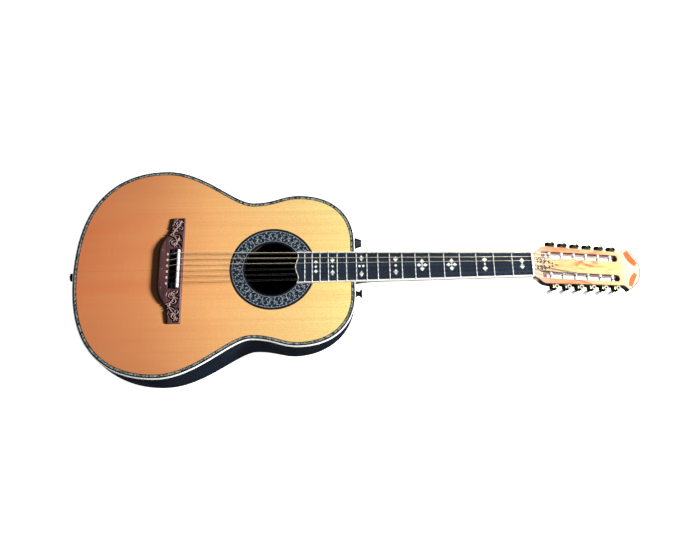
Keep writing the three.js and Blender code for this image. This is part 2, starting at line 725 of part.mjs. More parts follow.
// The way a string runs: anchor hole, over the saddle, over the nut, down to its roller.
function stringPath(string) {
  const clear = GAP + string.radius;
  const overSaddle = SADDLE_TOP + clear;
  const overNut = TOP_Z + NUT_H + clear;
  return [
    new THREE.Vector3(STRING_END_X, string.saddleY, STRING_Z_ANCHOR),
    new THREE.Vector3(STRING_EXIT_X, string.saddleY, STRING_Z_ANCHOR),
    new THREE.Vector3(SADDLE_X - SADDLE_T / 2, string.saddleY, overSaddle),
    new THREE.Vector3(SADDLE_X + SADDLE_T / 2 - 0.5, string.saddleY, overSaddle),
    new THREE.Vector3(NUT_X - 0.5, string.nutY, overNut),
    new THREE.Vector3(NUT_X + NUT_T + 0.3, string.nutY, overNut),
    headPoint(tunerX(string.index), string.windY, ROLLER_T + ROLLER_R + clear),
  ];
}

// A six-sided wire through the points, with its bends kept in the upright plane.
function wire(points, radius) {
  const sides = 6;
  const rings = points.map((point, k) => {
    const before = points[Math.max(k - 1, 0)];
    const after = points[Math.min(k + 1, points.length - 1)];
    const along = after.clone().sub(before).normalize();
    const across = new THREE.Vector3(0, 0, 1).cross(along).normalize();
    const up = along.clone().cross(across);
    return Array.from({ length: sides }, (_, s) => {
      const angle = (TURN * s) / sides;
      return point.clone()
        .addScaledVector(across, radius * Math.cos(angle))
        .addScaledVector(up, radius * Math.sin(angle));
    });
  });
  return loft(rings);
}

// ---- Assembly ------------------------------------------------------------

const FINISH = {
  spruce: { color: 0xe8a355, roughness: 0.45, metalness: 0 },
  bowl: { color: 0x15181c, roughness: 0.35, metalness: 0 },
  ivoroid: { color: 0xf2ecd8, roughness: 0.4, metalness: 0 },
  shell: { color: 0x7d8f88, roughness: 0.25, metalness: 0.1 },
  rosette: { color: 0x1d2a3a, roughness: 0.3, metalness: 0 },
  walnut: { color: 0x5a3030, roughness: 0.5, metalness: 0 },
  bone: { color: 0xf5f3ec, roughness: 0.4, metalness: 0 },
  brace: { color: 0xd9b77c, roughness: 0.7, metalness: 0 },
  maple: { color: 0x9a5a30, roughness: 0.4, metalness: 0 },
  headFace: { color: 0xf0cf80, roughness: 0.4, metalness: 0 },
  ebony: { color: 0x17171a, roughness: 0.4, metalness: 0 },
  silver: { color: 0xc8c8c8, roughness: 0.25, metalness: 1 },
  steel: { color: 0x8a8d90, roughness: 0.4, metalness: 1 },
  blackPlastic: { color: 0x1a1a1c, roughness: 0.5, metalness: 0 },
  chrome: { color: 0xd4d6d8, roughness: 0.12, metalness: 1 },
  bronze: { color: 0xc08a4a, roughness: 0.3, metalness: 1 },
};

const guitar = new THREE.Group();

function add(name, geometry, finish) {
  const mesh = new THREE.Mesh(geometry, new THREE.MeshStandardMaterial(FINISH[finish]));
  mesh.name = name;
  guitar.add(mesh);
}

add('bowl', bowl(), 'bowl');
add('soundboard', soundboard(), 'spruce');
add('body_binding', bodyBinding(), 'ivoroid');
add('body_purfling', bodyPurfling(), 'shell');
add('rosette', rosette(), 'rosette');
add('x_brace', xBrace(), 'brace');
add('transverse_brace', transverseBrace(), 'brace');
add('bridge_plate', bridgePlate(), 'brace');
add('neck_block', neckBlock(), 'brace');
add('bridge', bridge(), 'walnut');
add('saddle', saddle(), 'bone');
add('neck', neck(), 'maple');
add('truss_rod', trussRod(), 'steel');
add('fretboard', fretboard(), 'ebony');
add('fretboard_binding', fretboardBinding(), 'ivoroid');
add('frets', frets(), 'silver');
add('nut', nut(), 'bone');
add('headstock_overlay', headstockOverlay(), 'headFace');
add('strap_button_tail', strapButton(RIM.tail - STRAP_BUTTON.gap, 0, STRAP_BUTTON.z, -1), 'chrome');
add('strap_button_neck',
  strapButton(RIM.neckEnd + STRAP_BUTTON.gap, STRAP_BUTTON.y, STRAP_BUTTON.z, 1), 'chrome');
add('volume_knob', volumeKnob(), 'blackPlastic');
add('volume_pot', volumePot(), 'steel');
for (const side of [1, -1]) {
  const sideName = side > 0 ? 'bass' : 'treble';
  add(`tuner_cases_${sideName}`, tunerCases(side), 'chrome');
  for (let index = 0; index < TUNERS_A_SIDE; index += 1) {
    add(`roller_${sideName}_${index + 1}`, roller(index, side), 'chrome');
    add(`tuner_button_${sideName}_${index + 1}`, tunerButton(index, side), 'chrome');
  }
}
for (const string of stringList()) {
  add(`string_${string.name}`, wire(stringPath(string), string.radius), 'bronze');
}

export default guitar;
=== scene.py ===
"""The looks of a twelve-string acoustic guitar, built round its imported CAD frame.

Lengths below are millimetres, and piece() turns them into metres. +X runs along the neck to the head,
+Y to the bass side and +Z out of the soundboard. Points on the head use the head's own axes: x along
it from the nut, y across it and z out of its face; on_head() turns them into the frame's.
"""
import math

import bmesh
import bpy
import numpy as np
from mathutils import Euler, Matrix, Vector


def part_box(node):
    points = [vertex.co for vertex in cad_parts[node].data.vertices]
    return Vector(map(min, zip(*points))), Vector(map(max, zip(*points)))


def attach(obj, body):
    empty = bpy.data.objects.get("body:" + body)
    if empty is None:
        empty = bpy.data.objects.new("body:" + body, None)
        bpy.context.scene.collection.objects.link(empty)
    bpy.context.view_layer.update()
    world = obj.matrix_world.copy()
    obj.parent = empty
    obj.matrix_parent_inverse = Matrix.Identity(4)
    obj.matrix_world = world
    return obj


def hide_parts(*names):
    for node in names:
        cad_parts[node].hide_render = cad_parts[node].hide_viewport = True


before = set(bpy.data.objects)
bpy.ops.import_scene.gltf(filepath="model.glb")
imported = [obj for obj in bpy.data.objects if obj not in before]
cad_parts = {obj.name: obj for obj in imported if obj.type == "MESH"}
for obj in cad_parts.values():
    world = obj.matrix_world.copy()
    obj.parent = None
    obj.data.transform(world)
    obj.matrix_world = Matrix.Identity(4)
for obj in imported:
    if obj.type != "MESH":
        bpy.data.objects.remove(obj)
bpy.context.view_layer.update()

MM = 0.001


def box_mm(node):
    """The lowest and highest corner of a CAD node, in millimetres."""
    low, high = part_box(node)
    return np.array(low) / MM, np.array(high) / MM


# ---- Driving dimensions --------------------------------------------------

NUT_LOW, NUT_HIGH = box_mm("nut")
SADDLE_LOW, SADDLE_HIGH = box_mm("saddle")
NUT_X = NUT_LOW[0]
TOP_Z = box_mm("soundboard")[1][2]
SCALE_LENGTH = 641.35

NECK_END = NUT_X - 322.8
NECK_FLAT = 51.2
UPPER = (NUT_X - 426.7, 147.2)
WAIST = (NUT_X - 509.8, 133)
LOWER = (NUT_X - 676, 201.6)
TAIL = NUT_X - 835.8
RIM_POINTS = 320

BINDING_W = 3
BINDING_H = 6
SIDE_Z = TOP_Z - BINDING_H
SOUNDBOARD_T = 3
PURFLING_IN = 3.2
PURFLING_OUT = 7.4
BOARD_INSET = 7.6
SHELF_IN = 10
WALL = 3.2
FLAT_X = NUT_X - 471.3
FLAT_LENGTH_RATIO = 0.669
FLAT_WIDTH_RATIO = 0.3

HOLE_X = NUT_X - 473
HOLE_R = 50.8
ROSETTE_R = 78.8
ROSETTE_T = 1.5
ROSETTE_LINES = ((54.2, 55.0), (73.9, 74.6))
ROSETTE_RIMS = ((74.9, ROSETTE_R, 0.06), (51.2, 54.2, 0.05))
VINE_R = 65.7
VINE_SWING = 4.6
VINE_WAVES = 17

NUT_HALF = 23.8
TWELFTH_HALF = 28.5
BOARD_T = 6.5
BOARD_END = 429
BOARD_EDGE_W = 1.6
FRETS = 18
FRET_H = 1.1
FRET_HALF_W = 1.2
NOTCH_DEPTH = 0.45
NOTCH_HALF_W = 0.42
BOARD_TOP = TOP_Z + BOARD_T
NUT_TOP = NUT_HIGH[2]

BRIDGE_TOP = box_mm("bridge")[1][2]
BRIDGE_FRONT = NUT_X - 636
BRIDGE_WING = NUT_X - 661.5
BRIDGE_BACK = NUT_X - 682
BRIDGE_HALF = 102.5
WING_START = 46
WING_END_H = 4.5
RECESS = (NUT_X - 661, NUT_X - 640.8, 38)
RECESS_FLOOR = TOP_Z + 3
ANCHOR_X = NUT_X - 661.5
ANCHOR_Z = TOP_Z + 5.6
DOT_Y = 36.5
BACK_SLOPE = 4.2
# Distances from the back edge, in mm, over which the painted shade on the bridge's back slope fades out.
BACK_SHADE = (3.4, 4.6)
CARVE_DEEP = 2.2
CARVE_RISE = 2.4
CARVE_REACH = (2.6, 4.4)

HEAD_TILT = math.radians(11)
HEAD_RISE = 5
HEAD_T = 20
OVERLAY_T = 2
GLUE_T = 0.2
HEAD_START = 6
SHOULDER = (30, 36.2)
SIDE_END = (172, 32.7)
TIP = (190, 41)
HEAD_END = 216.6
SLOT_Y = 19.5
SLOT_W = 13
SLOT_START = 30
SLOT_END = 173
TUNER_FIRST = 37.5
TUNER_PITCH = 24.4
TUNERS = 6
ROLLER_Z = -5.5
ROLLER_R = 3.1
SHAFT_R = 2
WORM_X = 7.4
WORM_Y = 5.4
WHEEL_IN = 3.4
WHEEL_W = 4
WHEEL_R = 3.9
CASE = {"before": 8, "after": 11.5, "out": 10, "top": -0.4, "bottom": -14}
BUTTON = {"top": -24, "bottom": -38, "half_w": 6, "half_t": 3.6, "stem_r": 1.6}

COURSE_Y_NUT = (19.3, 11.6, 3.9)
COURSE_Y_SADDLE = (28.2, 16.9, 5.6)
PAIR_AT_NUT = 1.0
PAIR_AT_SADDLE = 1.2
WIND_Y = (22, 19, 16.5, 18.5, 20.5, 22.5)
STRING_R = {"bass": (0.6, 0.35, 0.5, 0.3, 0.4, 0.25), "treble": (0.25, 0.25, 0.3, 0.3, 0.35, 0.25)}
SIDES = {"bass": 1, "treble": -1}

INLAY_LOW, INLAY_HIGH = -0.3, 0.05  # how deep an inlay sits, and how far it stands proud
CAMERA = {"lens": 43.16, "sensor": 36, "place": (190.5, -547.0, 1579.6), "turn": (20.94, -0.770, -0.906)}


# ---- Shapes: each is (points, faces) -------------------------------------

def joined(parts):
    """Several shapes as one."""
    points, faces, start = [], [], 0
    for part_points, part_faces in parts:
        points.append(np.asarray(part_points, float))
        faces += [[index + start for index in face] for face in part_faces]
        start += len(part_points)
    return np.vstack(points), faces


def loft(rings, closed=False):
    """A skin over rings of equally many points, with flat ends, or joined end to start."""
    count = len(rings[0])
    faces = []
    spans = len(rings) if closed else len(rings) - 1
    for row in range(spans):
        here, there = row * count, (row + 1) % len(rings) * count
        for col in range(count):
            beside = (col + 1) % count
            faces.append([here + col, here + beside, there + beside, there + col])
    if not closed:
        faces.append(list(range(count))[::-1])
        faces.append([(len(rings) - 1) * count + col for col in range(count)])
    return np.vstack([np.asarray(ring, float) for ring in rings]), faces


def at_height(outline, z):
    """A flat outline's points at one height."""
    outline = np.asarray(outline, float)
    return np.column_stack([outline, np.full(len(outline), z)])


def prism(outline, low, high, edge=0.0):
    """An upright prism with its top edge eased by a small chamfer."""
    if not edge:
        return loft([at_height(outline, low), at_height(outline, high)])
    return loft([at_height(outline, low), at_height(outline, high - edge),
                 at_height(inset(outline, edge), high)])


def turned(profile, count=32):
    """A shape turned about the Z axis from (radius, height) points."""
    angles = np.arange(count) * math.tau / count
    rings = [np.column_stack([r * np.cos(angles), r * np.sin(angles), np.full(count, z)])
             for r, z in profile]
    return loft(rings)


def moved(shape, matrix):
    """A shape put through a matrix."""
    grid = np.array(matrix)
    return shape[0] @ grid[:3, :3].T + grid[:3, 3], shape[1]


def shifted(shape, x=0.0, y=0.0, z=0.0):
    return np.asarray(shape[0]) + (x, y, z), shape[1]


def tube(path, radius, count=8):
    """A round wire along a path."""
    path = np.asarray(path, float)
    radii = np.broadcast_to(radius, len(path))
    angles = np.arange(count) * math.tau / count
    rings, across = [], None
    for k, point in enumerate(path):
        along = path[min(k + 1, len(path) - 1)] - path[max(k - 1, 0)]
        along = along / np.linalg.norm(along)
        if across is None:
            across = np.cross(along, (0, 0, 1) if abs(along[2]) < 0.9 else (1, 0, 0))
        across = across - along * (across @ along)
        across = across / np.linalg.norm(across)
        up = np.cross(along, across)
        around = np.outer(np.cos(angles), across) + np.outer(np.sin(angles), up)
        rings.append(point + radii[k] * around)
    return loft(rings)


def ribbon(path, half_widths, low, high):
    """A flat strip along a path in the plane, as thick as low to high."""
    path = np.asarray(path, float)
    ahead = np.gradient(path, axis=0)
    ahead /= np.linalg.norm(ahead, axis=1)[:, None]
    left = np.column_stack([-ahead[:, 1], ahead[:, 0]])
    widths = np.broadcast_to(half_widths, len(path))[:, None]
    rings = []
    for a, b in zip(path + left * widths, path - left * widths):
        rings.append([(*a, low), (*b, low), (*b, high), (*a, high)])
    return loft(rings)


def leaf(start, angle, length, width, low, high, bend=0.0, points=9):
    """A pointed leaf lying in the plane, its midrib bent by an angle."""
    t = np.linspace(0, 1, points)
    turn = angle + bend * t
    steps = np.column_stack([np.cos(turn), np.sin(turn)]) * length / points
    path = np.asarray(start) + np.cumsum(steps, axis=0) - steps[0]
    return ribbon(path, 0.04 + width / 2 * np.sin(math.pi * t) ** 0.8, low, high)


def curl(start, angle, length, turn, half_width, low, high, points=18):
    """A tendril that winds tighter towards its end."""
    t = np.linspace(0, 1, points)
    headings = angle + turn * t ** 1.7
    steps = np.column_stack([np.cos(headings), np.sin(headings)]) * length / points
    path = np.asarray(start) + np.cumsum(steps, axis=0)
    return ribbon(path, half_width * (1 - 0.55 * t), low, high)


def plate(outlines, low, high, back_ease=0.0, ease_rise=0.0):
    """A flat plate with holes: the first outline is its edge, the others its holes.

    back_ease slopes the outer edge inwards over its lowest ease_rise.
    """
    bm = bmesh.new()
    for outline in outlines:
        corners = [bm.verts.new((x, y, low)) for x, y in outline]
        for a, b in zip(corners, corners[1:] + corners[:1]):
            bm.edges.new((a, b))
    bmesh.ops.triangle_fill(bm, use_beauty=True, edges=bm.edges[:])
    bm.verts.ensure_lookup_table()
    points = np.array([vert.co[:] for vert in bm.verts])
    caps = [[vert.index for vert in face.verts] for face in bm.faces]
    count = len(points)
    faces = [face[::-1] for face in caps] + [[index + count for index in face] for face in caps]
    top = points + (0, 0, high - low)
    start = 0
    for number, outline in enumerate(outlines):
        size = len(outline)
        for k in range(size):
            a, b = start + k, start + (k + 1) % size
            if number == 0 and back_ease:
                c, d = 2 * count + a, 2 * count + b
                faces += [[a, b, d, c], [c, d, b + count, a + count]]
            else:
                faces.append([a, b, b + count, a + count])
        start += size
    bm.free()
    levels = [points, top]
    if back_ease:
        edge_size = len(outlines[0])
        levels.append(points[:edge_size] + (0, 0, ease_rise))
        points[:edge_size, :2] = inset(outlines[0], back_ease)
    return np.vstack(levels), faces


def bezier(p0, p1, p2, p3, steps=24):
    """Points along a cubic curve, without its first one."""
    t = np.linspace(0, 1, steps + 1)[1:, None]
    p0, p1, p2, p3 = (np.array(p, float) for p in (p0, p1, p2, p3))
    return (1 - t) ** 3 * p0 + 3 * (1 - t) ** 2 * t * p1 + 3 * (1 - t) * t ** 2 * p2 + t ** 3 * p3


def mirrored(half):
    """A closed outline from its +Y half, whose ends lie on the X axis."""
    half = np.asarray(half, float)
    return np.vstack([half, half[-2:0:-1] * (1, -1)])


def evenly(outline, count):
    """A closed outline as evenly spaced points."""
    ring = np.vstack([outline, outline[:1]])
    length = np.concatenate([[0], np.cumsum(np.linalg.norm(np.diff(ring, axis=0), axis=1))])
    want = np.arange(count) * length[-1] / count
    return np.column_stack([np.interp(want, length, ring[:, k]) for k in (0, 1)])


def inset(outline, distance):
    """A closed outline moved inwards along its normals."""
    outline = np.asarray(outline, float)
    ahead = np.roll(outline, -1, axis=0) - np.roll(outline, 1, axis=0)
    ahead /= np.linalg.norm(ahead, axis=1)[:, None]
    normal = np.column_stack([-ahead[:, 1], ahead[:, 0]])
    x, y = outline.T
    area = np.sum(x * np.roll(y, -1) - np.roll(x, -1) * y)
    return outline + normal * (distance if area > 0 else -distance)


def circle(radius, count=96, x=0.0, y=0.0):
    angles = np.arange(count) * math.tau / count
    return np.column_stack([x + radius * np.cos(angles), y + radius * np.sin(angles)])


def on_side(shape, side):
    """A shape of the bass side, mirrored if side is -1, the treble side."""
    return shape[0] * (1, side, 1), shape[1]


def on_head(shape):
    """A shape from the head's own axes into the frame's."""
    place = Matrix.Translation((NUT_X, 0, TOP_Z + HEAD_RISE)) @ Matrix.Rotation(HEAD_TILT, 4, "Y")
    return moved(shape, place)


def rim():
    """The body's edge seen from above, anticlockwise from the neck end."""
    half = np.vstack([
        [(NECK_END, 0), (NECK_END, NECK_FLAT)],
        bezier((NECK_END, NECK_FLAT), (NECK_END, 101.5), (NUT_X - 356.2, UPPER[1]), UPPER, 60),
        bezier(UPPER, (NUT_X - 458.3, UPPER[1]), (NUT_X - 470.9, WAIST[1]), WAIST, 60),
        bezier(WAIST, (NUT_X - 546.5, WAIST[1]), (NUT_X - 604.7, LOWER[1]), LOWER, 60),
        bezier(LOWER, (NUT_X - 756.7, LOWER[1]), (TAIL, 156.6), (TAIL, 0), 90),
    ])
    return evenly(mirrored(half), RIM_POINTS)


RIM = rim()


def rim_band(outer, inner, low, high, edge=0.0):
    """A closed band that follows the body's edge."""
    a, b = inset(RIM, outer), inset(RIM, inner)
    rings = [at_height(b, low), at_height(a, low)]
    if edge:
        rings += [at_height(a, high - edge),
                  at_height(inset(RIM, outer + edge * 0.3), high - edge * 0.3),
                  at_height(inset(RIM, outer + edge), high)]
    else:
        rings.append(at_height(a, high))
    return loft(rings + [at_height(b, high)], closed=True)


def ring_band(inner, outer, low, high, count=192, x=HOLE_X):
    """A flat round ring."""
    return loft([at_height(circle(inner, count, x), low), at_height(circle(outer, count, x), low),
                 at_height(circle(outer, count, x), high), at_height(circle(inner, count, x), high)],
                closed=True)


# ---- Materials -----------------------------------------------------------

class Paint:
    """A material under construction: each call adds nodes and gives back the output to link on."""

    def __init__(self, name, roughness=0.5, metallic=0.0, coat=0.0, coat_roughness=0.1):
        self.material = bpy.data.materials.new(name)
        self.material.use_nodes = True
        self.tree = self.material.node_tree
        self.shader = self.tree.nodes["Principled BSDF"]
        self.set("Roughness", roughness)
        self.set("Metallic", metallic)
        self.set("Coat Weight", coat)
        self.set("Coat Roughness", coat_roughness)

    def set(self, socket, value):
        self.shader.inputs[socket].default_value = value

    def feed(self, socket, output):
        self.tree.links.new(output, self.shader.inputs[socket])

    def add(self, kind, inputs=(), **settings):
        node = self.tree.nodes.new(kind)
        for key, value in settings.items():
            setattr(node, key, value)
        for key, value in dict(inputs).items():
            if isinstance(value, bpy.types.NodeSocket):
                self.tree.links.new(value, node.inputs[key])
            else:
                node.inputs[key].default_value = value
        return node

    def space(self, stretch=(1, 1, 1), turn=(0, 0, 0)):
        """The piece's own coordinates in metres, stretched and turned."""
        place = self.add("ShaderNodeTexCoord").outputs["Object"]
        return self.add("ShaderNodeMapping", {"Vector": place, "Scale": stretch, "Rotation": turn}).outputs[0]

    def noise(self, vector, scale, detail=4.0, distortion=0.0, rough=0.55):
        settings = {"Vector": vector, "Scale": scale, "Detail": detail, "Distortion": distortion,
                    "Roughness": rough}
        return self.add("ShaderNodeTexNoise", settings).outputs["Fac"]

    def cells(self, vector, scale, output="Color"):
        return self.add("ShaderNodeTexVoronoi", {"Vector": vector, "Scale": scale}).outputs[output]

    def axis(self, name, low, high):
        """0 at low to 1 at high along one axis, in millimetres."""
        place = self.add("ShaderNodeTexCoord").outputs["Object"]
        part = self.add("ShaderNodeSeparateXYZ", {0: place}).outputs[name]
        settings = {"Value": part, "From Min": low * MM, "From Max": high * MM}
        return self.add("ShaderNodeMapRange", settings).outputs[0]

    def off_middle(self, name, low, high):
        """0 in the middle of a stretch along one axis to 0.5 at its two ends."""
        return self.math("ABSOLUTE", self.math("SUBTRACT", self.axis(name, low, high), 0.5))

    def math(self, operation, a, b=0.0):
        return self.add("ShaderNodeMath", {0: a, 1: b}, operation=operation).outputs[0]

    def ramp(self, value, stops, smooth=False):
        """Colours by value: stops are (place, colour)."""
        node = self.add("ShaderNodeValToRGB", {"Fac": value})
        node.color_ramp.interpolation = "EASE" if smooth else "LINEAR"
        while len(node.color_ramp.elements) < len(stops):
            node.color_ramp.elements.new(0.5)
        for element, (place, colour) in zip(node.color_ramp.elements, stops):
            element.position = place
            element.color = (*colour, 1)
        return node.outputs[0]

    def fade(self, value, low, high, last=1.0, first=0.0):
        """A grey ramp from first, at low and below, to last, at high and above."""
        return self.ramp(value, [(low, (first,) * 3), (high, (last,) * 3)])

    def level(self, value, low, high):
        """A grey level that goes from low to high with value."""
        return self.add("ShaderNodeMapRange", {"Value": value, "To Min": low, "To Max": high}).outputs[0]

    def mix(self, a, b, share, blend="MIX"):
        node = self.add("ShaderNodeMix", data_type="RGBA", blend_type=blend)
        for index, value in ((0, share), (6, a), (7, b)):
            if isinstance(value, bpy.types.NodeSocket):
                self.tree.links.new(value, node.inputs[index])
            elif index:
                node.inputs[index].default_value = (*value, 1)
            else:
                node.inputs[index].default_value = value
        return node.outputs[2]

    def relief(self, height, strength=0.3, depth=0.2):
        """Bump, its depth in millimetres."""
        settings = {"Height": height, "Strength": strength, "Distance": depth * MM}
        self.feed("Normal", self.add("ShaderNodeBump", settings).outputs[0])

    def wear(self, vector, scale, low, high):
        """Roughness that varies over the surface."""
        self.feed("Roughness", self.level(self.noise(vector, scale), low, high))


def spruce_top():
    """Varnished spruce, amber at the tail and paler towards the neck, with its grain along X, darker towards
    its long edges near the tail, and a painted highlight: its colour ramp is brightest midway along the body.
    """
    p = Paint("soundboard_spruce", coat=0.35, coat_roughness=0.22)
    shade = p.noise(p.space((3, 5, 3)), 1.0, 3)
    along = p.math("ADD", p.axis("X", TAIL, NECK_END), p.level(shade, -0.09, 0.09))
    # Painted highlight: the stop at 0.5 makes the middle of the body's length brighter than its own tone. The
    # change from amber to pale yellow is the top's own tone.
    tone = p.ramp(along, [(0.0, (0.74, 0.22, 0.085)), (0.25, (0.82, 0.31, 0.115)),
                          (0.5, (1.0, 0.53, 0.195)), (0.8, (0.92, 0.64, 0.24)), (1.0, (0.87, 0.8, 0.29))])
    fine = p.noise(p.space((1.5, 620, 1)), 1.0, 3)
    wide = p.noise(p.space((0.9, 70, 1)), 1.0, 3)
    silk = p.noise(p.space((160, 22, 1), (0, 0, 0.12)), 1.0, 3)
    tone = p.mix(tone, (0.62, 0.27, 0.09), p.fade(fine, 0.5, 0.72, 0.34))
    tone = p.mix(tone, (0.75, 0.33, 0.11), p.fade(wide, 0.45, 0.75, 0.3))
    broad = p.noise(p.space((1.6, 16, 1)), 1.0, 2)
    reddish = p.math("MULTIPLY", p.fade(broad, 0.44, 0.68, 0.7),
                     p.fade(along, 0.05, 0.6, 0.1, 1))
    tone = p.mix(tone, (0.72, 0.17, 0.055), reddish)
    across = p.off_middle("Y", -210, 230)
    edges = p.math("MULTIPLY", p.fade(across, 0.16, 0.46, 0.68),
                   p.fade(along, 0.1, 0.75, 0.1, 1))
    tone = p.mix(tone, (0.58, 0.2, 0.085), edges)
    speck = p.noise(p.space((230, 520, 1)), 1.0, 2)
    tone = p.mix(tone, (0.66, 0.27, 0.1), p.fade(speck, 0.48, 0.7, 0.3))
    tone = p.mix(tone, (1.0, 0.72, 0.36), p.fade(silk, 0.6, 0.8, 0.06))
    p.feed("Base Color", tone)
    p.relief(fine, 0.12, 0.08)
    p.wear(p.space((20, 60, 1)), 2.0, 0.32, 0.46)
    return p.material


def wood(name, dark, light, grain=(4, 160, 160), rough=(0.4, 0.6), coat=0.1, depth=0.12):
    """Plain timber with its grain along X."""
    p = Paint(name, coat=coat, coat_roughness=0.25)
    streak = p.noise(p.space(grain), 1.0, 6, 0.6)
    pores = p.noise(p.space((grain[0] * 8, grain[1] * 6, grain[2] * 6)), 1.0, 2)
    tone = p.ramp(streak, [(0.3, dark), (0.7, light)])
    tone = p.mix(tone, tuple(0.45 * c for c in dark), p.fade(pores, 0.6, 0.75, 0.7))
    p.feed("Base Color", tone)
    p.relief(pores, 0.25, depth)
    p.wear(p.space(grain), 2.0, *rough)
    return p.material


def carved_wood():
    """Dark bridge timber with painted light: nearly black in the ground of its carving and on the slope of
    its back edge, a painted shade, and rosy on what stands up, a painted highlight.
    """
    p = Paint("carved_bridge_wood", coat=0.12, coat_roughness=0.3)
    streak = p.noise(p.space((160, 9, 120)), 1.0, 5, 0.5)
    pores = p.noise(p.space((900, 60, 900)), 1.0, 2)
    carve = p.add("ShaderNodeAttribute", attribute_name="carve").outputs["Fac"]
    plain = p.ramp(streak, [(0.3, (0.055, 0.024, 0.028)), (0.7, (0.17, 0.066, 0.06))])
    # Painted light on the carving: near black in its ground, a painted shade, up to rosy at the top of what
    # stands up, a painted highlight.
    raised = p.ramp(carve, [(0.0, (0.012, 0.01, 0.016)), (0.5, (0.05, 0.022, 0.026)),
                            (0.8, (0.17, 0.075, 0.07)), (0.99, (0.75, 0.5, 0.44))])
    field = p.add("ShaderNodeAttribute", attribute_name="field").outputs["Fac"]
    tone = p.mix(plain, raised, field)
    p.feed("Base Color", p.mix(tone, (0.02, 0.01, 0.012), p.fade(pores, 0.58, 0.75, 0.6)))
    p.relief(pores, 0.25, 0.12)
    p.wear(p.space((60, 20, 60)), 1.0, 0.36, 0.52)
    return p.material


def bowl_skin():
    """Black moulded glass-fibre shell, with a faint blue cast, flow marks and a fine grain."""
    p = Paint("bowl_shell")
    p.set("Specular IOR Level", 0.06)
    cloud = p.noise(p.space((14, 14, 14)), 1.0, 5)
    grit = p.noise(p.space((900, 900, 900)), 1.0, 2)
    tone = p.ramp(cloud, [(0.3, (0.0035, 0.006, 0.012)), (0.75, (0.009, 0.014, 0.024))])
    p.feed("Base Color", p.mix(tone, (0.03, 0.04, 0.055), p.fade(grit, 0.62, 0.8, 0.4)))
    p.relief(grit, 0.3, 0.1)
    p.wear(p.space((25, 25, 25)), 1.0, 0.42, 0.6)
    return p.material


def shell(name, tones, scale=260, rough=(0.12, 0.28)):
    """Sea shell cut in small plates, each with its own colour and its own streaks."""
    p = Paint(name, coat=0.5, coat_roughness=0.08)
    plates = p.cells(p.space(), scale)
    streak = p.noise(p.space(), scale * 2.4, 5, 2.2)
    mixed = p.math("ADD", p.math("MULTIPLY", plates, 0.45), p.math("MULTIPLY", streak, 0.6))
    p.feed("Base Color", p.ramp(mixed, [(0.22 + 0.56 * k / (len(tones) - 1), tone)
                                        for k, tone in enumerate(tones)]))
    p.relief(streak, 0.15, 0.05)
    p.wear(p.space(), scale, *rough)
    return p.material


def plastic(name, dark, light, rough=(0.3, 0.45), scale=30.0, coat=0.2, depth=0.03, gloss=0.5):
    """Moulded plastic, bone or lacquer: a soft mottling and a slight unevenness."""
    p = Paint(name, coat=coat, coat_roughness=0.15)
    p.set("Specular IOR Level", gloss)
    cloud = p.noise(p.space(), scale, 4)
    grit = p.noise(p.space(), scale * 60, 2)
    p.feed("Base Color", p.ramp(cloud, [(0.3, dark), (0.7, light)]))
    p.relief(grit, 0.15, depth)
    p.wear(p.space(), scale * 2, *rough)
    return p.material


def ivoroid():
    """Grained ivory-coloured binding."""
    p = Paint("white_binding", coat=0.4, coat_roughness=0.12)
    lines = p.noise(p.space((40, 40, 1400)), 1.0, 3)
    tone = p.ramp(lines, [(0.35, (0.86, 0.83, 0.74)), (0.65, (0.98, 0.97, 0.93))])
    p.feed("Base Color", tone)
    p.relief(lines, 0.05, 0.03)
    p.wear(p.space((60, 60, 60)), 1.0, 0.2, 0.34)
    return p.material


def metal(name, dark, light, rough=(0.16, 0.34), stretch=(60, 400, 60), depth=0.02, metallic=1.0):
    """Metal with fine scratches and duller patches."""
    p = Paint(name, metallic=metallic)
    scratch = p.noise(p.space(stretch), 6.0, 3)
    cloud = p.noise(p.space((90, 90, 90)), 1.0, 3)
    p.feed("Base Color", p.ramp(cloud, [(0.3, dark), (0.7, light)]))
    p.relief(scratch, 0.12, depth)
    p.wear(p.space(stretch), 3.0, *rough)
    return p.material


def wound_wire():
    """A string's bronze winding: close rings along X, with painted shade in the grooves between them."""
    p = Paint("bronze_wound_string", metallic=0.35)
    wave = p.add("ShaderNodeTexWave", {"Vector": p.space(), "Scale": 640.0}, bands_direction="X")
    turns = wave.outputs["Fac"]
    cloud = p.noise(p.space((30, 30, 30)), 1.0, 3)
    tone = p.ramp(cloud, [(0.3, (0.72, 0.62, 0.42)), (0.7, (0.95, 0.88, 0.66))])
    # Painted shade: the grooves between the turns are coloured dark brown.
    p.feed("Base Color", p.mix(tone, (0.3, 0.22, 0.12), p.fade(turns, 0.0, 0.35, 0, 0.7)))
    p.relief(turns, 0.6, 0.12)
    p.wear(p.space((80, 80, 80)), 1.0, 0.22, 0.36)
    return p.material


